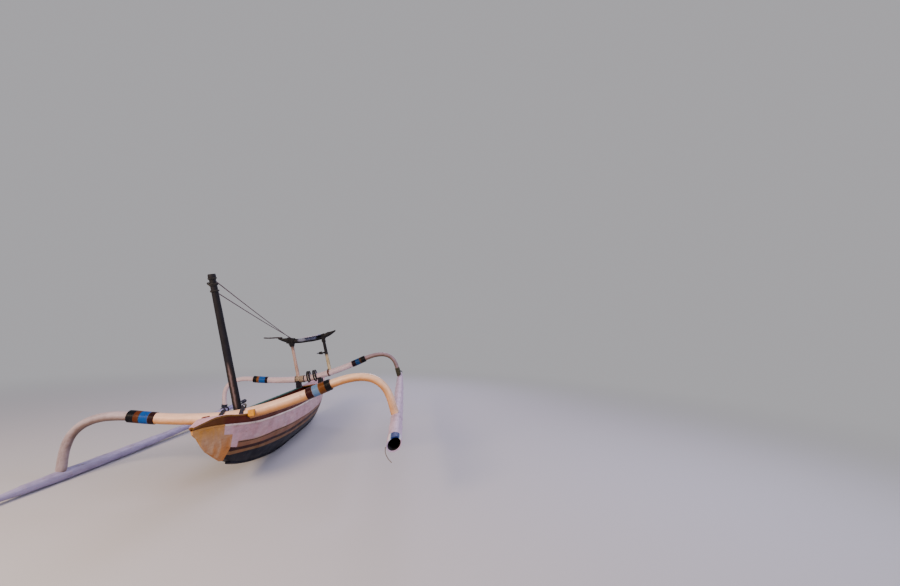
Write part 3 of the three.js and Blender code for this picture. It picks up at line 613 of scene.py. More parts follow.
# Stripes over the side. The band's place comes from the UV, so every edge follows the sheer.
def sideStripes(tree, place):
    girth = addNode(tree, "TexCoord").outputs["UV"]
    girthAt = addNode(tree, "SeparateXYZ", {0: girth}).outputs[0]
    shake = addNode(tree, "TexNoise", {"Vector": place, "Scale": 1 / (60 * mm), "Detail": 3.0}).outputs[0]
    moved = addNode(tree, "Math", {0: shake, 1: 0.07, 2: girthAt}, operation="MULTIPLY_ADD").outputs[0]
    band = addNode(tree, "Math", {0: moved, 1: 0.2}, operation="MULTIPLY").outputs[0]
    shift = 0.007  # half of the shake, taken off again
    # the dark line with the thin pale line over it is partly a painted line and partly the painted shade and
    # painted highlight of a ridge there
    stops = [(0.0, "#030316"), (0.2 + shift, "#80603C"), (0.39 + shift, "#2C0300"),
             (0.61 + shift, "#8A6448"), (0.755 + shift, "#402410"), (0.792 + shift, "#B08E78"),
             (0.802 + shift, lilacWhite)]
    painted = addNode(tree, "ValToRGB", {0: band}, stops).outputs[0]
    # the tan strip and its dark line stop short of the stem block
    forward = addNode(tree, "SeparateXYZ", {0: place}).outputs[1]
    short = addNode(tree, "MapRange", {"Value": forward, 1: -0.175, 2: -0.160, 3: 1.0, 4: 0.0}).outputs[0]
    upper = addNode(tree, "Math", {0: band, 1: 0.61 + shift}, operation="GREATER_THAN").outputs[0]
    short = addNode(tree, "Math", {0: short, 1: upper}, operation="MULTIPLY").outputs[0]
    painted = addNode(tree, "Mix", {0: short, 6: painted, 7: lilacWhite}, data_type="RGBA").outputs[2]
    patchy = addNode(tree, "TexNoise", {"Vector": place, "Scale": 1 / (95 * mm), "Detail": 2.0}).outputs[0]
    warm = addNode(tree, "MapRange", {"Value": patchy, 1: 0.42, 2: 0.62, 3: 0.0, 4: 0.4}).outputs[0]
    painted = addNode(tree, "Mix", {0: warm, 6: painted, 7: "#C8A8A0"}, data_type="RGBA",
                      blend_type="SOFT_LIGHT").outputs[2]
    # repainted in square patches forward, paler and pinker than the rest
    squares = addNode(tree, "TexVoronoi", {"Vector": place, "Scale": 1 / (230 * mm), "Randomness": 0.8},
                      distance="CHEBYCHEV").outputs["Color"]
    fresh = addNode(tree, "MapRange", {"Value": squares, 1: 0.45, 2: 0.55, 3: 0.0, 4: 0.35}).outputs[0]
    return addNode(tree, "Mix", {0: fresh, 6: painted, 7: "#A88A9A"}, data_type="RGBA",
                   blend_type="SOFT_LIGHT").outputs[2]


# Hull enamel on a hewn log: chalky lilac white over navy, with ochre and maroon lines.
hullEnamel = oilPaint("marine enamel on hewn log", "#C4A4A6", gloss=0.40, wear=0.35, colourOf=sideStripes,
                      under="#8A6A50", grime="#5A4A52", grimeShare=0.30)


# Ochre paint on the stem block, scuffed by landings: golden above, pinkish where it has chalked
# half way down and orange at the foot, with pale scuffs that run down it.
def stemColours(tree, place):
    height = addNode(tree, "SeparateXYZ", {0: place}).outputs[2]
    runs = addNode(tree, "Mapping", {"Vector": place, "Scale": (1, 1, 0.35)}).outputs[0]
    streaks = addNode(tree, "TexNoise", {"Vector": runs, "Scale": 1 / (85 * mm), "Detail": 4.0}).outputs[0]
    moved = addNode(tree, "Math", {0: streaks, 1: 0.5, 2: height}, operation="MULTIPLY_ADD").outputs[0]
    share = addNode(tree, "MapRange", {"Value": moved, 1: 0.45, 2: 0.98}).outputs[0]
    coat = addNode(tree, "ValToRGB", {0: share}, [(0.0, "#B47C4C"), (0.35, "#BC7A3E"), (0.6, "#B48A66"),
                                                  (0.95, "#C88C30")], "LINEAR").outputs[0]
    scuffs = addNode(tree, "TexNoise", {"Vector": runs, "Scale": 1 / (42 * mm), "Detail": 6.0}).outputs[0]
    pale = addNode(tree, "MapRange", {"Value": scuffs, 1: 0.52, 2: 0.66, 3: 0.0, 4: 0.35}).outputs[0]
    return addNode(tree, "Mix", {0: pale, 6: coat, 7: "#D8B48C"}, data_type="RGBA").outputs[2]


stemOchre = oilPaint("ochre oil paint on hardwood", "#C08A4A", gloss=0.46, wear=0.6, under="#9A5220",
                     grime="#7A5238", grimeShare=0.30, patch=120, colourOf=stemColours)
# Inside of the log, adzed and oiled long ago: grey brown with soft scallops.
insideTimber = bareTimber("adzed log inside", "#8A6F58", "#5C4432", silverShare=0.5)


def makeHull():
    form = makeMesh("hullLog", logForm(hull["stripThick"]), [hullEnamel, insideTimber])
    cavity = makeMesh("cavity", cavityForm(hull["wall"], hull["floor"]), [hullEnamel, insideTimber],
                      faceMaterial=1)
    carve(form, cavity)
    carve(form, makeMesh("nose", noseCut(hull["seam"]), [hullEnamel]))
    carve(form, makeMesh("tail", tailCut(hull["seam"]), [hullEnamel]))
    settle(form, ["hull_log"])

    stem = makeMesh("bowBlock", logForm(0), [stemOchre])
    carve(stem, makeMesh("nose", noseCut(0), [stemOchre]), "INTERSECT")
    settle(roundEdges(stem, 2.5, angle=50), ["bow_block"])

    tailBlock = makeMesh("sternBlock", logForm(hull["stripThick"]), [stemOchre])
    carve(tailBlock, makeMesh("tail", tailCut(0), [stemOchre]), "INTERSECT")
    settle(roundEdges(tailBlock, 2.5, angle=50), ["stern_block"])


makeHull()
print("log, bow block and stern block carved")


# Strakes: dark red brown gloss, painted golden brown towards the bow as painted light on the lit bow end.
def strakeBrown(tree, place):
    along = addNode(tree, "SeparateXYZ", {0: place}).outputs[1]
    shake = addNode(tree, "TexNoise", {"Vector": place, "Scale": 1 / (110 * mm), "Detail": 4.0}).outputs[0]
    moved = addNode(tree, "Math", {0: shake, 1: 0.12, 2: along}, operation="MULTIPLY_ADD").outputs[0]
    # painted light: towards the bow end the strake turns golden brown
    gold = addNode(tree, "MapRange", {"Value": moved, 1: -0.35, 2: -0.29, 3: 1.0, 4: 0.0}).outputs[0]
    return addNode(tree, "Mix", {0: gold, 6: "#541600", 7: "#5E3206"}, data_type="RGBA").outputs[2]


strakeGloss = oilPaint("red brown enamel on sawn plank", "#541600", gloss=0.38, wear=0.25,
                       colourOf=strakeBrown, under="#8A5A34", grime="#2A120A", grimeShare=0.3)


# Rub rail: ivory enamel, knocked along its crown, and ochre where it crosses the bow block.
def railColours(tree, place):
    along = addNode(tree, "SeparateXYZ", {0: place}).outputs[1]
    block = addNode(tree, "MapRange", {"Value": along, 1: -0.374, 2: -0.370, 3: 1.0, 4: 0.0}).outputs[0]
    return addNode(tree, "Mix", {0: block, 6: "#E4D2C8", 7: "#C08A48"}, data_type="RGBA").outputs[2]


railIvory = oilPaint("ivory enamel on rub rail", "#E8DAC0", gloss=0.38, wear=0.6, under="#6E4A34", chip=11,
                     colourOf=railColours)
# Gunwale cap: sea green worn grey by hands and ropes.
capGreen = oilPaint("sea green enamel on gunwale", "#3C6A60", gloss=0.45, wear=0.75, under="#8A7C6A",
                    grime="#4E564E", grimeShare=0.5)
# Bottom paint on the keel batten, scraped by stones.
keelNavy = oilPaint("navy bottom paint", "#06061C", gloss=0.55, wear=0.6, under="#7A6450", grime="#2A2A30")


# Decks: lilac white on top, golden along their edges.
def deckColours(tree, place):
    normal = addNode(tree, "NewGeometry").outputs["Normal"]
    lift = addNode(tree, "SeparateXYZ", {0: normal}).outputs[2]
    side = addNode(tree, "MapRange", {"Value": lift, 1: 0.55, 2: 0.62, 3: 1.0, 4: 0.0}).outputs[0]
    return addNode(tree, "Mix", {0: side, 6: "#E2B0BE", 7: "#7E5826"}, data_type="RGBA").outputs[2]


deckPaint = oilPaint("lilac white deck enamel", "#DCC8CC", gloss=0.42, wear=0.45, colourOf=deckColours,
                     under="#8A6A4C", grime="#6A5854", grimeShare=0.35)

planks = {"step": 60, "round": 3.0, "rubHigh": 20, "rubProud": 11, "rubReach": (-690, 3950),
          "capReach": (71, 3008), "stripReach": (-185, 3880), "deckShares": (-1, -0.42, 0, 0.42, 1)}


def strakePart(sign):
    rings = []
    for y in stations(hull["bow"], hull["stern"], planks["step"]):
        low, high = logAt(y) + 0.4, sheerAt(y) - hull["capThick"] - 0.4
        foot, head = hullLine("halfLog", y), halfSheer(y)
        thick = min(hull["strake"], foot - 0.6)
        outer, inner = [], []
        for k in range(7):
            t = k / 6
            bulge = foot + (head - foot) * (1 - (1 - t) ** 1.6)
            wave = wobble(at(bulge, y, lerp(low, high, t)), 160, 1.0, 3 * sign)
            outer.append(at(sign * (bulge + (wave if 0 < k < 6 else 0)), y, lerp(low, high, t)))
            inner.append(at(sign * max(bulge - thick, 0.4), y, lerp(low, high, t)))
        rings.append(outer + list(reversed(inner)))
    return skin(rings)


def rubPart(sign):
    rings = []
    for y in stations(*planks["rubReach"], planks["step"]):
        top = logAt(y) - 1
        skinX = hullLine("halfLog", y)
        share = 1 - planks["rubHigh"] / max(top - keelAt(y) - hull["stripThick"], 40)
        low = breadth(y, max(share, 0.3))
        proud = planks["rubProud"] * clamp(min(y + 700, 3960 - y) / 120 + 0.25)
        ring = []
        for k in range(9):
            turn = math.pi * k / 8
            base = lerp(low, skinX, (1 - math.cos(turn)) / 2)
            ring.append(at(sign * (base + 0.5 + proud * math.sin(turn) ** 0.7), y,
                           top - planks["rubHigh"] * (1 + math.cos(turn)) / 2))
        ring += [at(sign * (skinX - 4), y, top), at(sign * (low - 4), y, top - planks["rubHigh"])]
        rings.append(ring)
    return skin(rings)


def capPart(sign):
    rings = []
    for y in stations(*planks["capReach"], planks["step"]):
        head = halfSheer(y)
        outside, inside = head + hull["capOut"], max(head - hull["strake"] - hull["capIn"], 0.4)
        low, high = sheerAt(y) - hull["capThick"], sheerAt(y)
        middle = (outside + inside) / 2
        rings.append([at(sign * inside, y, low), at(sign * outside, y, low), at(sign * outside, y, high - 3),
                      at(sign * (outside - 4), y, high), at(sign * middle, y, high + 1),
                      at(sign * (inside + 4), y, high), at(sign * inside, y, high - 3)])
    return skin(rings)


frontBoom = {"y": 0, "shift": 20, "rise": 0, "tilt": 0, "radius": 62, "end": 935, "reach": 800, "lift": 218,
             "arm": (50, 43, 47), "sleeve": (790, 1068), "lash": (-107, 107), "lashWide": 46}
rearBoom = {"y": 2930, "shift": 38, "rise": 59, "tilt": 0.033, "radius": 57, "end": 900, "reach": 740,
            "lift": 218, "arm": (45, 36, 37), "sleeve": (768, 1015), "lash": (-43, 75), "lashWide": 84}
boomCurve = {"soft": 140, "slope": 0.069, "curl": 0.102e-3, "taper": 0.006}
arm = {"start": 65, "tuck": 50, "drop": 38, "lean": 60}


def boomLift(out):
    soft = math.hypot(out, boomCurve["soft"]) - boomCurve["soft"]
    return boomCurve["slope"] * soft + boomCurve["curl"] * out * out


def boomPoint(boom, out):
    return at(boom["shift"] + out, boom["y"], datum + boom["rise"] + boom["tilt"] * out + boomLift(out))


def boomRadius(boom, out):
    return boom["radius"] - abs(out) * boomCurve["taper"]


def boomPath(boom, low, high, step=25):
    return [boomPoint(boom, out) for out in stations(low, high, step)]


def makePlanks():
    notchHalf = frontBoom["radius"] + 1
    for name, sign in (("left", -1), ("right", 1)):
        strake = makeMesh("sheerStrake." + name, strakePart(sign), [strakeGloss])
        path = boomPath(frontBoom, -500, 500)
        carve(strake, makeMesh("cutBoom", tube(path, notchHalf, 32), [strakeGloss]))
        low = boomPoint(frontBoom, 200).z
        notch = boxPart((-hull["cutHalf"], -notchHalf, low), (hull["cutHalf"], notchHalf, low + 300))
        carve(strake, makeMesh("cutNotch", notch, [strakeGloss]))
        settle(roundEdges(strake, planks["round"], angle=55), ["sheer_strake_" + name])
        rub = makeMesh("rubRail." + name, rubPart(sign), [railIvory], 50)
        settle(rub, ["rub_rail_" + name])
        cap = makeMesh("capRail." + name, capPart(sign), [capGreen], 40)
        settle(roundEdges(cap, 1.5), ["cap_rail_" + name])
    rings = []
    for y in stations(*planks["stripReach"], planks["step"]):
        low = keelAt(y)
        half, high = hullLine("foot", y), low + hull["stripThick"] - 0.4
        rings.append([at(-half, y, low), at(half, y, low), at(half, y, high), at(-half, y, high)])
    strip = makeMesh("keelStrip", skin(rings), [keelNavy])
    carve(strip, makeMesh("nose", noseCut(hull["seam"]), [keelNavy]))
    settle(roundEdges(strip, 3), ["keel_strip"])


# One deck board between two shares of the half breadth, -1 to 1.
def deckBoard(low, high, fromY, toY, gap=1.4):
    rings = []
    for y in stations(fromY, toY, planks["step"]):
        out = halfSheer(y) + hull["capOut"]
        floor, top = sheerAt(y) - hull["capThick"], sheerAt(y)
        a, b = out * low + gap * (low > -1), out * high - gap * (high < 1)
        crown = lambda x: top + 5 * (1 - abs(x) / out)
        middle = (a + b) / 2
        rings.append([at(a, y, floor), at(b, y, floor), at(b, y, crown(b)),
                      at(middle, y, crown(middle) + 0.6), at(a, y, crown(a))])
    return skin(rings)


def makeDecks():
    shares = planks["deckShares"]
    for end, fromY, toY in (("fore", hull["bow"], hull["foreDeckEnd"]),
                            ("aft", hull["aftDeckStart"], hull["stern"])):
        boards = join([deckBoard(a, b, fromY, toY) for a, b in zip(shares, shares[1:])])
        settle(roundEdges(makeMesh(end + "Deck", boards, [deckPaint]), 2.2), [end + "_deck"])


makePlanks()
makeDecks()
print("strakes, rails and decks fitted")


# Booms and arms: ivory enamel over bamboo and grown crooks. It stays clean and rather glossy, with
# fine cracks along the fibre and rope rub near the lashings. Faces turned up are painted paler and
# faces turned down a darker tan: painted light above and painted shade below.
def paleAboveShadedBelow(top, below):
    def coats(tree, place):
        normal = addNode(tree, "NewGeometry").outputs["Normal"]
        lift = addNode(tree, "SeparateXYZ", {0: normal}).outputs[2]
        shake = addNode(tree, "TexNoise", {"Vector": place, "Scale": 1 / (40 * mm), "Detail": 3.0}).outputs[0]
        moved = addNode(tree, "Math", {0: shake, 1: 0.5, 2: lift}, operation="MULTIPLY_ADD").outputs[0]
        # painted shade: faces turning down take the darker below colour
        tan = addNode(tree, "MapRange", {"Value": moved, 1: 0.62, 2: -0.20, 3: 0.0, 4: 0.9}).outputs[0]
        return addNode(tree, "Mix", {0: tan, 6: top, 7: below}, data_type="RGBA").outputs[2]

    return coats


boomIvory = oilPaint("ivory enamel on bamboo", "#F2C896", gloss=0.32, wear=0.42, under="#8C6844",
                     grime="#8A6A50", grimeShare=0.28, space="UV", patch=220,
                     colourOf=paleAboveShadedBelow("#F0C8B2", "#C4884A"))
armIvory = oilPaint("ivory enamel on grown crook", "#F0C898", gloss=0.34, wear=0.5, under="#7E5C40",
                    grime="#80604C", grimeShare=0.32, space="UV", patch=180,
                    colourOf=paleAboveShadedBelow("#EEC6A6", "#BC7C3C"))
# The starboard arm of the front boom is painted greyer and darker than the port one: painted shade.
armShaded = oilPaint("shaded front enamel on grown crook", "#B49C98", gloss=0.42, wear=0.62, under="#6E5644",
                     grime="#6E5C58", grimeShare=0.40, space="UV", patch=150,
                     colourOf=paleAboveShadedBelow("#B4A6B2", "#705C54"))
# The rear boom and its starboard arm are painted a cooler lilac grey than the front ones, as painted
# shade. The port arm's coat is dirtier and painted darker still, and brown below: painted shade.
rearShadedIvory = oilPaint("shaded rear enamel on bamboo", "#D4BCC2", gloss=0.40, wear=0.55, under="#8C6844",
                     grime="#786470", grimeShare=0.34, space="UV", patch=200)
rearArmShaded = oilPaint("greyed enamel on grown crook", "#A88C92", gloss=0.42, wear=0.62, under="#6A5040",
                        grime="#6E5C60", grimeShare=0.42, space="UV", patch=140,
                        colourOf=paleAboveShadedBelow("#9C848C", "#6A5440"))


def bezier(a, b, c, d, t):
    u = 1 - t
    return a * u ** 3 + b * 3 * u * u * t + c * 3 * u * t * t + d * t ** 3


def armPath(boom, name, count=44):
    sign = floats[name]["sign"]
    start = boomPoint(boom, sign * (boom["end"] + arm["start"]))
    foot = floatPoint(name, boom["y"])
    ctrl = (start, start + at(sign * boom["reach"], 0, boom["lift"]),
            foot + at(-sign * arm["lean"], 0, arm["drop"] + arm["tuck"]), foot + at(0, 0, arm["tuck"]))
    return [bezier(*ctrl, i / count) for i in range(count + 1)]


def armRadius(boom, share):
    root, waist, foot = boom["arm"]
    return lerp(root, waist, share * 2) if share < 0.5 else lerp(waist, foot, share * 2 - 1)


# The coats of each boom and of its left and right arms.
boomCoats = (("front", frontBoom, boomIvory, {"left": armShaded, "right": armIvory}),
             ("rear", rearBoom, rearShadedIvory, {"left": rearShadedIvory, "right": rearArmShaded}))


def makeBooms():
    for end, boom, paint, armPaint in boomCoats:
        reach = boom["end"] - 1
        outs = stations(-reach, reach, 24)
        path = [boomPoint(boom, out) for out in outs]
        radii = [boomRadius(boom, out) + wobble(at(out, 0, 0), 210, 1.2, boom["y"]) for out in outs]
        grown = lambda i, turn: wobble(at(outs[i] * 0.6, math.cos(turn) * 60, math.sin(turn) * 60), 70, 0.9)
        pole = makeMesh(end + "Boom", tube(path, radii, 40, grown), [paint], 60)
        settle(pole, [end + "_boom"])
        for name in ("left", "right"):
            sign = floats[name]["sign"]
            lead = [boomPoint(boom, sign * out) for out in stations(boom["end"] + 1, boom["end"] + 55, 18)]
            whole = lead + armPath(boom, name)
            foot = floatPoint(name, boom["y"])
            path = [p for p in whole if (p - foot).length > floatRadius(name, boom["y"]) - 14]
            radii = [armRadius(boom, lerp(0.09, 0.875, i / len(whole))) for i in range(len(path))]
            knurl = lambda i, turn: wobble(path[i] + at(math.cos(turn), math.sin(turn), 0) * 40, 85, 1.6)
            crook = makeMesh("arm." + end + "." + name, tube(path, radii, 36, knurl), [armPaint[name]], 60)
            settle(crook, ["arm_" + end + "_" + name])


makeBooms()
print("booms and arms shaped")


# Points a fixed step apart along a polyline.
def evenPath(path, step):
    runs = [0.0]
    for a, b in zip(path, path[1:]):
        runs.append(runs[-1] + (b - a).length)
    count = max(2, round(runs[-1] / step))
    even, k = [], 0
    for i in range(count + 1):
        goal = runs[-1] * i / count
        while k < len(runs) - 2 and runs[k + 1] < goal:
            k += 1
        even.append(path[k].lerp(path[k + 1], clamp((goal - runs[k]) / (runs[k + 1] - runs[k]))))
    return even


# Cord bindings over each joint of boom and arm, painted in bands from the hull outwards:
# share of the binding where a band starts, and its colour.
sleeves = {
    "pitch": 6.5, "step": 1.3, "core": 5.4, "cord": 2.4,
    "front.left": [(0.0, "#240404"), (0.20, "#5E4A3C"), (0.215, "#004C9E"), (0.55, "#2C3A3C"),
                   (0.58, "#56280A"), (0.77, "#02020C")],
    "front.right": [(0.0, "#2E0404"), (0.27, "#7E6A60"), (0.285, "#5E80AA"), (0.55, "#7E6A48"),
                    (0.575, "#64380E"), (0.83, "#040308")],
    "rear.left": [(0.0, "#1C0810"), (0.18, "#1256A0"), (0.61, "#7A4A1C"), (0.79, "#06050A")],
    "rear.right": [(0.0, "#1C0814"), (0.30, "#103C6C"), (0.62, "#452A12"), (0.74, "#06050A")],
}


# Gloss paint over tight cord: thin ribs round the joint, each catching its own light, with dirt
# between them. The ribs are modelled; the shader adds the colour bands and the chips on the crowns.
def bindingPaint(key, length):
    stops = sleeves[key]

    def bands(tree, place):
        part = addNode(tree, "SeparateXYZ", {0: place})
        shake = addNode(tree, "TexNoise", {"Vector": place, "Scale": 1 / (25 * mm), "Detail": 2.0}).outputs[0]
        moved = addNode(tree, "Math", {0: shake, 1: 4 * mm, 2: part.outputs[1]}, operation="MULTIPLY_ADD")
        share = addNode(tree, "MapRange", {"Value": moved.outputs[0], 1: 2 * mm, 2: (length + 2) * mm})
        return addNode(tree, "ValToRGB", {0: share.outputs[0]}, stops).outputs[0]

    return oilPaint("gloss enamel on cord binding " + key, "#808080", gloss=0.36, wear=0.45, colourOf=bands,
                    under="#B09A78", grime="#181016", grimeShare=0.25, space="UV", along="X",
                    fibre=2.0, patch=60, chip=7)


def makeSleeves():
    for end, boom in (("front", frontBoom), ("rear", rearBoom)):
        for name in ("left", "right"):
            sign = floats[name]["sign"]
            low, high = boom["sleeve"]
            joint = boom["end"] + arm["start"]
            line = [boomPoint(boom, sign * out) for out in stations(low, joint, 10)]
            line += armPath(boom, name, 120)[1:]
            line = [p for p in line if (p.x - boom["shift"]) * sign <= high + 4]
            path = evenPath(line, sleeves["step"])
            length = sleeves["step"] * (len(path) - 1)
            rib = lambda i, turn: sleeves["cord"] * abs(math.sin(
                math.pi * (i * sleeves["step"] / sleeves["pitch"] + turn / (2 * math.pi)))) ** 0.6
            base = boomRadius(boom, boom["end"]) + sleeves["core"]
            last = len(path) - 1
            radii = [base - 4.0 * (1 - clamp(min(i, last - i) / 3)) for i in range(last + 1)]
            piece = makeMesh("sleeve." + end + "." + name, tube(path, radii, 44, rib),
                             [bindingPaint(end + "." + name, length)], 80)
            settle(piece, ["sleeve_" + end + "_" + name])


makeSleeves()
print("painted bindings wound")

# The starboard float is painted a darker, bluer lilac than the port one: painted shade.
bamboo = {"joint": 395, "firstJoint": {"left": 210, "right": 150}, "uneven": 22, "swell": 3.2,
          "swellReach": 11, "groove": 1.4, "grooveReach": 3, "waist": 1.2, "hollow": 420,
          "wallThick": 12, "sides": 36, "lilac": {"left": "#ACA4C8", "right": "#CAB0C6"}}


# Chalky lilac paint on bamboo, streaked lengthwise by sand and sun, its far end dipped in navy.
# Just behind its mouth the port float has a navy patch on top, edged in pale blue.
def floatPaint(name):
    lilac = bamboo["lilac"][name]

    def coats(tree, place):
        part = addNode(tree, "SeparateXYZ", {0: place})
        girth, length = part.outputs[0], part.outputs[1]
        shake = addNode(tree, "TexNoise", {"Vector": place, "Scale": 1 / (28 * mm), "Detail": 3.0}).outputs[0]
        along = addNode(tree, "Math", {0: shake, 1: 0.02, 2: length}, operation="MULTIPLY_ADD").outputs[0]
        share = addNode(tree, "MapRange", {"Value": along, 1: 4.0, 2: 4.7}).outputs[0]
        dipped = [(0.0, lilac), (0.50, "#C6D2C4"), (0.58, "#10102A")]
        coat = addNode(tree, "ValToRGB", {0: share}, dipped).outputs[0]
        if name == "right":
            aside = addNode(tree, "Math", {0: girth, 1: 0.361}, operation="SUBTRACT").outputs[0]
            aside = addNode(tree, "Math", {0: aside}, operation="ABSOLUTE").outputs[0]
            aside = addNode(tree, "Math", {0: shake, 1: 0.012, 2: aside}, operation="MULTIPLY_ADD").outputs[0]
            share = addNode(tree, "MapRange", {"Value": aside, 1: 0.0, 2: 0.1}).outputs[0]
            edged = [(0.0, "#1E3670"), (0.52, "#8FB0D6"), (0.60, "#E0D6DE"), (0.86, lilac)]
            patch = addNode(tree, "ValToRGB", {0: share}, edged).outputs[0]
            window = addNode(tree, "MapRange", {"Value": along, 1: 0.150, 2: 0.154, 3: 1.0, 4: 0.0})
            coat = addNode(tree, "Mix", {0: window.outputs[0], 6: coat, 7: patch},
                           data_type="RGBA").outputs[2]
        return coat

    return oilPaint("chalky lilac paint on bamboo " + name, lilac, gloss=0.48, wear=0.75, colourOf=coats,
                    under="#8C8078", grime="#6E6678", grimeShare=0.4, space="UV", fibre=4.5, patch=260,
                    chip=18)


# Inside of the bamboo, painted black brown and quite matt as painted shade, so the open mouths look deep.
bambooInsideShade = bareTimber("shade dark bamboo inside", "#1E1713", "#0E0A08", silverShare=0.1, space="UV")


# The ring drawn in towards its middle, and moved along the pole.
def drawnIn(ring, thin, along):
    middle = sum(ring, Vector()) / len(ring)
    return [middle + (p - middle) * (1 - thin / (p - middle).length) + at(0, along, 0) for p in ring]


def makeFloats():
    sides, wall = bamboo["sides"], bamboo["wallThick"]
    for name, phase in (("left", 60), ("right", 0)):
        sign = floats[name]["sign"]
        first = floats["front"] + bamboo["firstJoint"][name]
        joints = [first + k * bamboo["joint"] + bamboo["uneven"] * math.sin(2.3 * k + phase)
                  for k in range(12)]
        ys = set(stations(floats["front"], floats["back"], 45))
        for joint in joints:
            ys.update(joint + d for d in (-26, -15, -9, -5, -2, 0, 2, 5, 9, 15, 26))
        ys = sorted(y for y in ys if floats["front"] <= y <= floats["back"])
        path = [floatPoint(name, y) for y in ys]
        radii = []
        for y in ys:
            near = min((y - j for j in joints), key=abs)
            swell = (bamboo["swell"] * math.exp(-(near / bamboo["swellReach"]) ** 2)
                     - bamboo["groove"] * math.exp(-(near / bamboo["grooveReach"]) ** 2))
            between = bamboo["waist"] * math.cos(2 * math.pi * (y - joints[0]) / bamboo["joint"])
            radii.append(floatRadius(name, y) + swell + between - bamboo["waist"])
        oval = lambda i, turn: 0.9 * math.cos(2 * turn + 1.1) + wobble(path[i] * 0.5, 60, 0.8)
        verts = tube(path, radii, sides, oval, side=(1, 0, 0))[0]
        rings = []
        for i in range(len(ys)):
            # the slanting cut at the fore end fades out over the first few rings
            share = floats["bevel"] * clamp(1 - i / 4) ** 1.5 * sign
            ring = verts[i * sides:(i + 1) * sides]
            rings.append([at(p.x, p.y + (p.x - path[0].x) * share, p.z) for p in ring])
        deep = max(i for i, y in enumerate(ys) if y < floats["front"] + bamboo["hollow"])
        bore = [drawnIn(rings[i], wall + 1, 0) for i in range(deep, 0, -1)] + [drawnIn(rings[0], wall, 3)]
        mouth = bore + [drawnIn(rings[0], wall - 2, 0), drawnIn(rings[0], 1.4, 0)]
        tail = [drawnIn(rings[-1], 1.4, 0), drawnIn(rings[-1], 6, 0), drawnIn(rings[-1], 8, -7)]
        every = mouth + rings + tail
        runs = ([k * 0.001 for k in range(len(mouth))] + [y - ys[0] + 0.1 for y in ys]
                + [4600 + k for k in range(3)])
        piece = makeMesh("float." + name, skin(every, runs=runs), [floatPaint(name), bambooInsideShade], 45)
        for face in piece.data.polygons:
            face.material_index = 1 if all(v < len(bore) * sides for v in face.vertices) else 0
        settle(piece, ["float_" + name])


makeFloats()
print("bamboo floats made")

# Ropes: what a fishing boat has lying about, stiff with salt. The plastic navy and white ones have
# gone chalky, the tarred one stays a dull black, and the thin cords look dry and dusty.
ropeNavy = laidRope("navy polypropylene rope", "#141838", "#4A4C60", strand=3.2)
ropeBlack = laidRope("tarred black rope", "#08070A", "#26232A", strand=3.8)
ropePale = laidRope("bleached white rope", "#F0EAF2", "#B8B2BA", strand=3.8)
ropeOlive = laidRope("olive cord", "#3E3E22", "#6C664C", strand=2.6)
ropeStraw = laidRope("straw coloured cord", "#DCC0A2", "#A89078", strand=2.6)
ropeRust = laidRope("rust brown cord", "#5C2A20", "#7E5A4A", strand=2.6)

# Radius and turns of each rope. tall is how high the knot's loops stand, proud how far the turns
# bulge over the top, and half the half width of the white turns.
lashings = {
    "front": {"rope": 6.2, "turns": 3.6, "tall": (0.5, 1.3), "start": 0.8},
    "black": {"rope": 13.0, "turns": 1.6, "proud": 52, "start": 0.2},
    "white": {"rope": 8.0, "turns": 2.6, "proud": 24, "start": 0.6, "half": 18},
    "foot.left": {"rope": 6.0, "turns": 6.4, "high": 62, "girdles": ((-64, -36), (36, 64))},
    "foot.right": {"rope": 4.4, "turns": 17, "high": 150, "girdles": ()},
}


# Turns of rope round a boom between two distances out. They bulge by proud where they cross the top.
def boomTurns(boom, low, high, rope, turns, proud=0.0, start=0.0):
    core = lambda t: boomPoint(boom, lerp(low, high, t))
    bulge = lambda turn: proud * max(0, math.sin(turn)) ** 2
    lift = lambda t, turn: boomRadius(boom, lerp(low, high, t)) + rope + 0.3 + bulge(turn)
    return winding(core, lift, rope, turns, (0, 1, 0), start=start)


def makeLashings():
    front = lashings["front"]
    rope = front["rope"]
    for name, middle, tall in zip(("left", "right"), frontBoom["lash"], front["tall"]):
        wide = frontBoom["lashWide"] / 2 - rope
        turns = boomTurns(frontBoom, middle - wide, middle + wide, rope, front["turns"], start=front["start"])
        top = boomPoint(frontBoom, middle)
        high = lambda share: 64 + share * tall
        knot = fromPoint(top, [(-14, -20, 64), (-10, -10, high(20)), (2, 2, high(34)), (14, 10, high(24)),
                               (12, 0, 66), (-6, -18, 70), (4, -26, high(22)), (18, -30, 72),
                               (24, -54, 48)], 6)
        hang = fromPoint(top, [(-16, -40, 56), (-20, -62, 30), (-20, -74, -6), (-16, -70, -44)], 8)
        lash = join([turns, tube(knot, rope, coil["sides"]), tube(hang, rope, coil["sides"])])
        settle(makeMesh("lashing.front." + name, lash, [ropeNavy], 60), ["lashing_front_" + name])
        if name == "right":
            tuft = fromPoint(top, [(16, -8, 68), (26, -14, 92), (20, -6, 112), (30, 4, 96), (22, 8, 70)], 6)
            settle(makeMesh("lashing.tuft", tube(tuft, 3.4, coil["sides"]), [ropeOlive], 60), [])

    black, white = lashings["black"], lashings["white"]
    for name, middle in zip(("left", "right"), rearBoom["lash"]):
        wide = rearBoom["lashWide"] / 2 - black["rope"]
        dark = boomTurns(rearBoom, middle - wide, middle + wide, black["rope"], black["turns"],
                         black["proud"], black["start"])
        pale = boomTurns(rearBoom, middle - white["half"], middle + white["half"], white["rope"],
                         white["turns"], white["proud"], white["start"])
        settle(makeMesh("lashing.rear." + name, dark, [ropeBlack], 60), ["lashing_rear_" + name])
        settle(makeMesh("lashingPale.rear." + name, pale, [ropePale], 60), [])


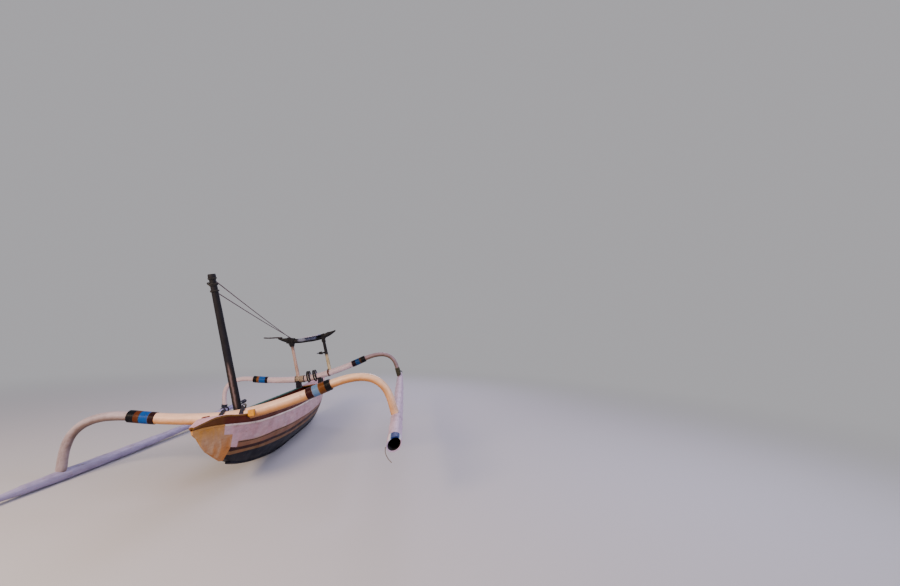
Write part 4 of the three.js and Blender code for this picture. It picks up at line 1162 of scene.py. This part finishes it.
# The rear arms are tied down where they stand on the floats: olive cord up the port one, and a
# heap of navy rope on the starboard one, with turns round the float as well.
def makeFootLashings():
    for name, rope in (("left", ropeNavy), ("right", ropeOlive)):
        lash = lashings["foot." + name]
        cord = lash["rope"]
        foot, clear = floatPoint(name, rearBoom["y"]), floatRadius(name, rearBoom["y"])
        path = [p for p in armPath(rearBoom, name, 120)
                if clear + 4 < (p - foot).length < clear + 4 + lash["high"]]
        core = lambda t: path[-1].lerp(path[0], t)
        reach = lambda t, turn: rearBoom["arm"][2] + cord - 0.5
        parts = [winding(core, reach, cord, lash["turns"], (1, 0, 0))]
        for low, high in lash["girdles"]:
            girdle = lambda t: floatPoint(name, rearBoom["y"] + lerp(low, high, t))
            parts.append(winding(girdle, lambda t, turn: clear + cord + 0.5, cord, 3.2, (1, 0, 0), start=1.1))
        settle(makeMesh("footLashing." + name, join(parts), [rope], 60), [])


# Cord round the rear boom by the feet of the posts: from and to in x, its radius and its turns.
postWraps = {"straw": (-232, -98, 4.0, 16.5), "ends": ((-244, -238, 5.0, 1.6), (-90, -82, 5.0, 2.0)),
             "rust": (346, 374, 4.4, 3.4), "knot": 360}


# Straw cord with dark ends by the starboard post, and a rusty knot by the port one.
def makePostLashings():
    shift = rearBoom["shift"]
    turns = lambda low, high, cord, count: boomTurns(rearBoom, low - shift, high - shift, cord, count)
    settle(makeMesh("postWrap", turns(*postWraps["straw"]), [ropeStraw], 60), [])
    ends = join([turns(*end) for end in postWraps["ends"]])
    settle(makeMesh("postWrapEnds", ends, [ropeBlack], 60), [])
    knot = fromPoint(boomPoint(rearBoom, postWraps["knot"] - shift),
                     [(-16, -50, 30), (4, -48, 52), (16, -30, 70), (-2, -14, 76), (-16, -34, 62),
                      (6, -54, 44), (20, -62, 18)], 6)
    rust = join([turns(*postWraps["rust"]), tube(knot, postWraps["rust"][2], coil["sides"])])
    settle(makeMesh("postKnot", rust, [ropeRust], 60), [])


# Chocks: saddles beside the strakes under the front boom, pedestals on the aft deck under the rear
# one. inner is how far out a saddle starts, ahead and behind are from its boom's middle.
saddle = {"inner": 205, "wide": 60, "ahead": 96, "behind": 40, "low": 26, "high": 36}
pedestal = {"along": 170, "wide": 62, "tuck": 26}
# The starboard saddle is red brown and the port one golden ochre, both chipped by the lashings.
chockRed = oilPaint("red brown enamel on chock", "#6E2014", gloss=0.45, wear=0.55, under="#A87C6C",
                    grime="#5A3A30", chip=14, patch=60)
chockOchre = oilPaint("golden ochre enamel on chock", "#DC9A2C", gloss=0.4, wear=0.6, under="#7A5230",
                      grime="#6A4A2A", chip=12, patch=70)
# The pedestals are painted nearly black and dull: painted shade under the rear boom.
pedestalShade = oilPaint("shade black enamel on pedestal block", "#120E1C", gloss=0.6, wear=0.5,
                         under="#4A3C34", grime="#3A2E2A", chip=14, patch=60)


# Hollows a block out to the round of the boom that rests on it.
def cutUnder(block, boom, paint):
    cutter = tube(boomPath(boom, -480, 480), boom["radius"] + 0.6, 40)
    return carve(block, makeMesh("cut", cutter, [paint]))


def makeChocks():
    for name, sign in (("left", -1), ("right", 1)):
        a, b = sorted((sign * saddle["inner"], sign * (saddle["inner"] + saddle["wide"])))
        level = boomPoint(frontBoom, (a + b) / 2 - frontBoom["shift"]).z
        coat = chockRed if name == "left" else chockOchre
        block = makeMesh("chock.front." + name, boxPart((a, -saddle["ahead"], level - saddle["low"]),
                                                        (b, saddle["behind"], level + saddle["high"])),
                         [coat])
        cutUnder(block, frontBoom, coat)
        settle(roundEdges(block, 5, 3), ["chock_front_" + name])

        seat = halfSheer(rearBoom["y"]) - hull["strake"] / 2
        top = boomPoint(rearBoom, sign * seat - rearBoom["shift"]).z - pedestal["tuck"]
        half = pedestal["along"] / 2
        back = min(rearBoom["y"] + half, hull["aftDeckStart"] - 2)
        rings = []
        for y in stations(rearBoom["y"] - half, back, 20):
            low = sheerAt(y) + 1.4
            lean = 10 * (1 - clamp(min(y - rearBoom["y"] + half, back - y) / 22)) ** 2
            a, b = sign * seat - pedestal["wide"] / 2, sign * seat + pedestal["wide"] / 2
            rings.append([at(a, y, low), at(b, y, low), at(b - 5, y, top - lean), at(a + 5, y, top - lean)])
        block = makeMesh("chock.rear." + name, skin(rings), [pedestalShade])
        cutUnder(block, rearBoom, pedestalShade)
        settle(roundEdges(block, 4, 3), ["chock_rear_" + name])


# The mast passes (atY, atZ) on its way to its top. head: how far below the top, and how far its
# shoulder swells out there.
mast = {"atY": 133, "atZ": 72, "topY": -152, "topZ": 1555, "footZ": -438, "foot": 44, "top": 34,
        "sides": 40, "head": ((58, 0), (50, 3.5), (46, 6), (30, 6), (8, 5.4), (3, 3), (0, -1))}


def mastAt(z):
    rake = (mast["atY"] - mast["topY"]) / (mast["topZ"] - mast["atZ"])
    return at(0, mast["atY"] + (mast["atZ"] - z) * rake, z + datum)


def mastRadius(z):
    return lerp(mast["foot"], mast["top"], clamp((z - mast["atZ"]) / (mast["topZ"] - mast["atZ"])))


# Mast: a spar stained nearly black, with long checks. Low on its fore side it has a pale pink
# streak inside a golden brown one.
def makeMastTimber():
    timber = bareTimber("dark stained spar timber", "#121018", "#08070C", check="#040304", rough=0.7,
                        space="UV", ring=14, silver="#282634", silverShare=0.35)
    tree = timber.node_tree
    surface = tree.nodes["Principled BSDF"]
    stained = surface.inputs["Base Color"].links[0].from_socket
    place = addNode(tree, "TexCoord").outputs["UV"]
    part = addNode(tree, "SeparateXYZ", {0: place})
    shake = addNode(tree, "TexNoise", {"Vector": place, "Scale": 1 / (70 * mm), "Detail": 4.0,
                                       "Roughness": 0.6}).outputs[0]
    swayed = addNode(tree, "Math", {0: shake, 1: 0.03, 2: part.outputs[0]},
                     operation="MULTIPLY_ADD").outputs[0]
    aside = addNode(tree, "Math", {0: swayed, 1: 0.159}, operation="SUBTRACT").outputs[0]
    aside = addNode(tree, "Math", {0: aside}, operation="ABSOLUTE").outputs[0]
    # heights along the spar from its foot, in metres
    rise = addNode(tree, "MapRange", {"Value": part.outputs[1], 1: 0.50, 2: 0.56}).outputs[0]
    fall = addNode(tree, "MapRange", {"Value": part.outputs[1], 1: 0.96, 2: 1.06, 3: 1.0, 4: 0.0}).outputs[0]
    zone = addNode(tree, "Math", {0: rise, 1: fall}, operation="MULTIPLY").outputs[0]
    coat = stained
    for low, high, colour in ((0.018, 0.034, "#2A2020"), (0.004, 0.015, "#66575A")):
        worn = addNode(tree, "MapRange", {"Value": aside, 1: low, 2: high, 3: 1.0, 4: 0.0}).outputs[0]
        worn = addNode(tree, "Math", {0: worn, 1: zone}, operation="MULTIPLY").outputs[0]
        coat = addNode(tree, "Mix", {0: worn, 6: coat, 7: colour}, data_type="RGBA").outputs[2]
    tree.links.new(coat, surface.inputs["Base Color"])
    return timber


collar = {"low": 1424, "high": 1460, "rope": 5.2, "turns": 3.4}


def makeMast():
    swell = {mast["topZ"] - down: grow for down, grow in mast["head"]}
    heights = stations(mast["footZ"], mast["topZ"] - 70, 36) + list(swell)
    path = [mastAt(z) for z in heights]
    radii = [mastRadius(z) + swell.get(z, 0) - 0.5 for z in heights]
    uneven = lambda i, turn: wobble(at(math.cos(turn) * 30, math.sin(turn) * 30, heights[i] * 0.35), 48, 1.1)
    spar = makeMesh("mast", tube(path, radii, mast["sides"], uneven, side=(0, 1, 0)), [makeMastTimber()], 50)
    settle(spar, ["mast"], "mast")

    core = lambda t: mastAt(lerp(collar["low"] + 5, collar["high"] - 5, t))
    reach = lambda t, turn: mastRadius(collar["low"]) + collar["rope"] + 0.4
    bands = [winding(core, reach, collar["rope"], collar["turns"], (0, 1, 0))]
    knob = fromPoint(mastAt(collar["high"] - 14),
                     [(-36, -10, -8), (-48, -14, 0), (-55, -16, 12), (-47, -12, 20), (-36, -6, 12)], 5)
    bands.append(tube(knob, 6.5, coil["sides"]))
    settle(makeMesh("mastCollar", join(bands), [ropeBlack], 60), ["mast_collar"], "mast")


# upper and lower: height on the mast, and how far aside the line ends at the yoke.
stays = {"foot": (-250, 2930, 830), "radius": 5.6, "sag": 12, "upper": (1506, 0), "lower": (1371, 18),
         "hitch": {"rope": 4.8, "turns": 2.4, "half": 8}}
# The stays are maroon rope that the sun has faded to a dusty pink along its crowns.
stayRope = laidRope("faded maroon rope", "#5A2E3C", "#8A6A76", strand=3.4)


# Two lines made fast on the mast head and at the yoke. Each sags a little between mast and hull.
def makeStays():
    hitch = stays["hitch"]
    for name in ("upper", "lower"):
        high, side = stays[name]
        foot = Vector(stays["foot"]) + at(side, 0, datum)
        top = mastAt(high)
        ahead = (foot - top).normalized()
        start = top + ahead * (mastRadius(high) + 1)
        path = []
        for i in range(61):
            t = i / 60
            path.append(start.lerp(foot, t) - at(0, 0, stays["sag"] * 4 * t * (1 - t)))
        core = lambda t: mastAt(high + lerp(-hitch["half"], hitch["half"], t))
        reach = lambda t, turn: mastRadius(high) + hitch["rope"] + 0.6
        turns = winding(core, reach, hitch["rope"], hitch["turns"], (0, 1, 0))
        settle(makeMesh("stayTurns." + name, turns, [ropeBlack], 60), [], "mast")
        piece = makeMesh("stay." + name, tube(path, stays["radius"], 10), [stayRope], 60)
        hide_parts("stay_" + name)
        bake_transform(piece)


# bind is the cord that ties the yoke down on the post's head: its radius, from, to and turns.
# The binding bulks out by bulk where it meets the yoke.
posts = [
    {"name": "left", "foot": -190, "head": -245, "tarred": 0.52, "soft": 0.12, "pale": "#C4A294",
     "dark": "#9A7868", "bind": (7.0, -76, 54, 9.3), "bulk": 24},
    {"name": "right", "foot": 388, "head": 332, "tarred": 0.30, "soft": 0.06, "pale": "#C8BA94",
     "dark": "#988662", "bind": (5.0, -32, 32, 6.3), "bulk": 0},
]
postRadius = 30
yoke = {
    "deep": 84, "wide": 70, "middle": 50, "low": 718, "halfSpan": 510, "sweep": 120,
    "left": -470, "right": 570,
    "board": {"left": -4, "right": 296, "ahead": 190, "behind": 230, "thick": 16},
    "stick": {"near": (-430, 868), "tip": (-730, 912), "radii": (14, 11)},
    "peg": {"high": 482, "tip": (186, 486), "radius": 17},
}


def yokeLow(x):
    t = (x - yoke["middle"]) / yoke["halfSpan"]
    return yoke["low"] + yoke["sweep"] * t * t * abs(t)


# Posts: peeled poles, the starboard one pinkish and the port one straw coloured, stained black by
# tar towards the yoke.
def makePostTimber(post):
    timber = bareTimber("peeled pole, tarred head " + post["name"], post["pale"], post["dark"],
                        check="#4A342C", rough=0.66, space="UV", ring=12, silver="#B0A0A0",
                        silverShare=0.35)
    tree = timber.node_tree
    surface = tree.nodes["Principled BSDF"]
    peeled = surface.inputs["Base Color"].links[0].from_socket
    place = addNode(tree, "TexCoord").outputs["UV"]
    along = addNode(tree, "SeparateXYZ", {0: place}).outputs[1]
    shake = addNode(tree, "TexNoise", {"Vector": place, "Scale": 1 / (50 * mm), "Detail": 4.0}).outputs[0]
    moved = addNode(tree, "Math", {0: shake, 1: 0.09, 2: along}, operation="MULTIPLY_ADD").outputs[0]
    tarred = addNode(tree, "MapRange", {"Value": moved, 1: post["tarred"],
                                        2: post["tarred"] + post["soft"]}).outputs[0]
    both = addNode(tree, "Mix", {0: tarred, 6: peeled, 7: "#120E14"}, data_type="RGBA").outputs[2]
    tree.links.new(both, surface.inputs["Base Color"])
    return timber


# Tarred yoke, near black. Its middle is painted a pale blue grey on top and on both faces: painted light
# where the board above shades it.
def yokeColours(tree, place):
    normal = addNode(tree, "NewGeometry").outputs["Normal"]
    lift = addNode(tree, "SeparateXYZ", {0: normal}).outputs[2]
    side = addNode(tree, "SeparateXYZ", {0: place}).outputs[0]
    shake = addNode(tree, "TexNoise", {"Vector": place, "Scale": 1 / (45 * mm), "Detail": 4.0}).outputs[0]
    aside = addNode(tree, "Math", {0: side, 1: 0.05}, operation="SUBTRACT").outputs[0]
    aside = addNode(tree, "Math", {0: aside}, operation="ABSOLUTE").outputs[0]
    moved = addNode(tree, "Math", {0: shake, 1: 0.08, 2: aside}, operation="MULTIPLY_ADD").outputs[0]
    # painted light: pale blue grey over the middle, under the board, but not underneath
    near = addNode(tree, "MapRange", {"Value": moved, 1: 0.19, 2: 0.22, 3: 1.0, 4: 0.0}).outputs[0]
    faced = addNode(tree, "MapRange", {"Value": lift, 1: -0.12, 2: 0.04}).outputs[0]
    worn = addNode(tree, "Math", {0: near, 1: faced}, operation="MULTIPLY").outputs[0]
    return addNode(tree, "Mix", {0: worn, 6: "#0B0C16", 7: "#7C829E"}, data_type="RGBA").outputs[2]


yokeTimber = oilPaint("tar on yoke timber", "#0B0C16", gloss=0.5, wear=0.35, under="#3A3436", grime="#3A3A40",
                      grimeShare=0.3, along="X", colourOf=yokeColours, chip=12, patch=80)
# The stick is stained a dark purplish brown by tar. The board is bare, silvered by sun and salt to
# a pale bluish grey.
stickTimber = bareTimber("tar stained stick", "#28141E", "#1A0C14", check="#0C0609", rough=0.6, along="X",
                         space="UV", silver="#3E2838", silverShare=0.35)
boardTimber = bareTimber("silvered board", "#AEAEC0", "#86869A", check="#3C3A44", rough=0.8,
                         silver="#C4C4D8", silverShare=0.6)


def makeRest():
    y = rearBoom["y"]
    rings = []
    for x in stations(yoke["left"], yoke["right"], 16):
        full = min(1, (min(x - yoke["left"], yoke["right"] - x) + 60) / 200)
        low = yokeLow(x) + datum
        high = low + yoke["deep"] * full
        half = yoke["wide"] / 2 * (0.6 + 0.4 * full)
        middle, deep = (low + high) / 2, (high - low) / 2
        ring = []
        for k in range(20):
            turn = 2 * math.pi * (k + 0.5) / 20
            c, s = math.cos(turn), math.sin(turn)
            # a square section with its corners well rounded off
            aside = half * math.copysign(abs(c) ** 0.55, c) + wobble(at(x, c * 40, s * 40), 60, 1.4)
            above = deep * math.copysign(abs(s) ** 0.55, s) + wobble(at(x, s * 40, c * 40), 75, 1.4, 5)
            ring.append(at(x, y + aside, middle + above))
        rings.append(ring)
    settle(makeMesh("restYoke", skin(rings), [yokeTimber], 50), ["rest_yoke"])

    board = yoke["board"]
    slats = []
    low, high = y - board["ahead"], y + board["behind"]
    for a, b in ((0, 0.34), (0.345, 0.66), (0.665, 1)):
        left, right = lerp(board["left"], board["right"], a), lerp(board["left"], board["right"], b)
        rows = []
        for x in stations(left, right, 16):
            floor = yokeLow(x) + yoke["deep"] + datum + 0.5
            top, ahead, behind = floor + board["thick"], low + 6 * a, high - 9 * b
            rows.append([at(x, ahead, floor), at(x, behind, floor), at(x, behind, top), at(x, ahead, top)])
        slats.append(skin(rows))
    flat = makeMesh("yokeBoard", join(slats), [boardTimber], 40)
    settle(roundEdges(flat, 2.5), ["yoke_board"])

    near, tip = yoke["stick"]["near"], yoke["stick"]["tip"]
    ends = at(near[0] + 26, y, near[1] + datum - 4), at(tip[0], y, tip[1] + datum)
    path = [ends[0].lerp(ends[1], i / 16) + at(0, 3 * math.sin(i * 0.7), 3 * math.sin(i * 0.4))
            for i in range(17)]
    radii = [lerp(*yoke["stick"]["radii"], i / 16) + 0.9 * math.sin(i * 1.9) for i in range(17)]
    settle(makeMesh("yokeStick", tube(path, radii, 14), [stickTimber]), ["yoke_stick"])

    for post in posts:
        foot = boomPoint(rearBoom, post["foot"] - rearBoom["shift"])
        head = at(post["head"], y, yokeLow(post["head"]) + datum + 30)
        up = (head - foot).normalized()
        base = foot + up * 44
        path = [base.lerp(head, i / 30) for i in range(31)]
        radii = [lerp(postRadius, postRadius - 4, i / 30) + wobble(path[i], 90, 1.8, 2) for i in range(31)]
        knots = lambda i, turn: (2.6 * math.exp(-((i - 11) / 1.2) ** 2 - ((turn - 4.3) / 0.5) ** 2)
                                 + wobble(at(math.cos(turn) * 20, math.sin(turn) * 20, i * 12), 30, 0.7))
        pole = tube(path, radii, 26, knots, side=(1, 0, 0))
        settle(makeMesh("restPost." + post["name"], pole, [makePostTimber(post)], 50),
               ["rest_post_" + post["name"]])
        if post["name"] == "right":
            peg = yoke["peg"]
            share = (peg["high"] + datum - foot.z) / (head.z + 10 - foot.z)
            inside = foot.lerp(head, share)
            tipEnd = at(peg["tip"][0], y, peg["tip"][1] + datum)
            path = [inside.lerp(tipEnd, i / 10) for i in range(11)]
            radii = [peg["radius"] + 1.2 * math.sin(i * 1.3) - 0.7 * i for i in range(11)]
            settle(makeMesh("postPeg", tube(path, radii, 14), [yokeTimber]), ["post_peg"])
            spool = winding(lambda t: path[0].lerp(path[10], lerp(0.42, 0.78, t)),
                            lambda t, turn: peg["radius"] + 8 - 9 * t, 6.5, 4.2, (0, 1, 0))
            settle(makeMesh("pegRope", spool, [ropeBlack], 60), [])


# Tarred cord that binds the yoke down on the head of each post.
def makeYokeBindings():
    parts = []
    for post in posts:
        x = post["head"]
        cord, low, high, turns = post["bind"]
        core = lambda t: at(x + lerp(low, high, t), rearBoom["y"],
                            yokeLow(x + lerp(low, high, t)) + yoke["deep"] / 2 + datum)
        wide, deep = yoke["wide"] / 2 + cord, yoke["deep"] / 2 + cord + 2
        square = 3.6  # 2 would be an oval, more is squarer
        reach = lambda t, turn: (abs(math.cos(turn) / wide) ** square
                                 + abs(math.sin(turn) / deep) ** square) ** (-1 / square)
        parts.append(winding(core, reach, cord, turns, (0, 1, 0)))
        foot = boomPoint(rearBoom, post["foot"] - rearBoom["shift"])
        head = at(x, rearBoom["y"], yokeLow(x) + datum)
        up = (head - foot).normalized()
        under = lambda t: head - up * lerp(8, 62, t)
        spread = lambda t, turn: postRadius - 3 + cord + post["bulk"] * (1 - t) ** 2
        parts.append(winding(under, spread, cord, 5.2, (0, 1, 0)))
    settle(makeMesh("yokeBindings", join(parts), [ropeBlack], 60), [])


makeRest()
makeYokeBindings()
makeMast()
makeStays()
makeChocks()
makeLashings()
makeFootLashings()
makePostLashings()
print("mast, rest, lines and lashings rigged")

# Sawn hardwood thwarts, worn smooth in the middle where people sit.
thwartTimber = bareTimber("worn hardwood thwart", "#9A7454", "#6A4A34", along="X", rough=0.6, ring=11)
# Grown ribs, oiled a warm dark brown, and floor slats gone grey under wet feet.
ribTimber = bareTimber("grown rib timber", "#7E5E44", "#54392A", along="X", ring=10)
slatTimber = bareTimber("silvered floor slats", "#8C8478", "#64594E", silverShare=0.6)
inside = {"thwarts": (("fore_thwart", 860, 190), ("mid_thwart", 1620, 230), ("aft_thwart", 2380, 190)),
          "drop": 26, "thick": 30, "ribs": (1260, 1950, 2340), "ribFlat": 152, "slats": 3, "slatHalf": 68,
          "slatThick": 19}


# Half breadth inside the log at a height.
def innerHalf(y, z, inset):
    low = keelAt(y) + hull["stripThick"]
    share = clamp((z - low - hull["floor"]) / (logAt(y) - low))
    return breadth(y, share) - inset


def makeInside():
    for name, y, wide in inside["thwarts"]:
        top = logAt(y) - inside["drop"]
        boards = []
        for low, high in ((y - wide / 2, y - 2), (y + 2, y + wide / 2)):
            floor = top - inside["thick"]
            aheadHalf, behindHalf = [innerHalf(end, floor, hull["wall"] + 1) for end in (low, high)]
            rings = []
            for t in stations(-1, 1, 0.1):
                a, b, seat = t * aheadHalf, t * behindHalf, top - 2.5 * (1 - t * t)
                rings.append([at(a, low, floor), at(b, high, floor), at(b, high, seat), at(a, low, seat)])
            boards.append(skin(rings))
        thwart = makeMesh(name.replace("_", "."), join(boards), [thwartTimber], 40)
        settle(roundEdges(thwart, 4, 3), [name])
    high = inside["ribFlat"] + 0.6
    slats = []
    edge = inside["slatHalf"]
    for k in range(inside["slats"]):
        a = lerp(-edge, edge, k / inside["slats"]) + 2
        b = lerp(-edge, edge, (k + 1) / inside["slats"]) - 2
        ahead, behind = inside["ribs"][0] - 60 + 7 * k, inside["ribs"][2] + 40 - 5 * k
        slats.append(boxPart((a, ahead, high), (b, behind, high + inside["slatThick"])))
    floor = makeMesh("floorSlats", join(slats), [slatTimber], 40)
    settle(roundEdges(floor, 2.5), ["floor_board"])
    for node in ("rib_1", "rib_2", "rib_3", "mast_partner", "mast_step"):
        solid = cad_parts[node]
        solid.data.materials.clear()
        solid.data.materials.append(ribTimber)


makeInside()
print("thwarts, ribs and floor slats laid")

# Pale paper floor that fades into the lit background some metres off, so no horizon shows.
studio = {"floorRadius": 90.0, "floorSides": 96, "paper": "#BAB8BC", "fadeFrom": 3.2, "fadeTo": 12.0,
          "backdrop": "#DFDDE2", "glow": 0.60}


def makeStage():
    sides, radius = studio["floorSides"], studio["floorRadius"]
    verts = [(0.0, 0.0, 0.0)]
    for k in range(sides):
        turn = 2 * math.pi * k / sides
        verts.append((radius * math.cos(turn), radius * math.sin(turn), 0.0))
    faces = [(0, 1 + k, 1 + (k + 1) % sides) for k in range(sides)]
    mesh = bpy.data.meshes.new("floor")
    mesh.from_pydata(verts, [], faces)
    material, tree, surface = startMaterial("paper floor", Roughness=0.92)
    surface.inputs["Base Color"].default_value = linear(studio["paper"])
    place = addNode(tree, "TexCoord").outputs["Object"]
    far = addNode(tree, "VectorMath", {0: place}, operation="LENGTH").outputs["Value"]
    fade = addNode(tree, "MapRange", {"Value": far, 1: studio["fadeFrom"], 2: studio["fadeTo"]},
                   interpolation_type="SMOOTHSTEP").outputs[0]
    glow = addNode(tree, "Emission", {0: studio["backdrop"], 1: studio["glow"]}).outputs[0]
    both = addNode(tree, "MixShader", {0: fade, 1: surface.outputs[0], 2: glow}).outputs[0]
    tree.links.new(both, tree.nodes["Material Output"].inputs["Surface"])
    mesh.materials.append(material)
    floor = bpy.data.objects.new("floor", mesh)
    bpy.context.scene.collection.objects.link(floor)


# Soft disks, sizes in metres and power in watts: a warm key ahead, two cool ones aside and behind.
lamps = {
    "key": {"place": (-2.8, -7.5, 4.2), "target": (0, -0.6, 0.7), "size": 2.6, "power": 820,
            "colour": "#FFE2C0"},
    "fill": {"place": (7.0, -3.0, 4.5), "target": (0, 0, 0.6), "size": 4.5, "power": 300,
             "colour": "#D8D8FF"},
    "rear": {"place": (2.0, 7.0, 6.5), "target": (0, 0.5, 0.7), "size": 4.5, "power": 420,
             "colour": "#E4DCFF"},
}


def makeLights():
    world = bpy.data.worlds.new("studio")
    world.use_nodes = True
    sky = world.node_tree.nodes["Background"]
    sky.inputs[0].default_value = linear(studio["backdrop"])
    sky.inputs[1].default_value = studio["glow"]
    bpy.context.scene.world = world
    for name, lamp in lamps.items():
        data = bpy.data.lights.new(name, "AREA")
        data.shape = "DISK"
        data.size = lamp["size"]
        data.energy = lamp["power"]
        data.color = linear(lamp["colour"])[:3]
        disk = bpy.data.objects.new(name, data)
        bpy.context.scene.collection.objects.link(disk)
        disk.location = lamp["place"]
        aim = Vector(lamp["target"]) - Vector(lamp["place"])
        disk.rotation_euler = aim.to_track_quat("-Z", "Y").to_euler()


makeStage()
makeLights()
print("stage and lights set")
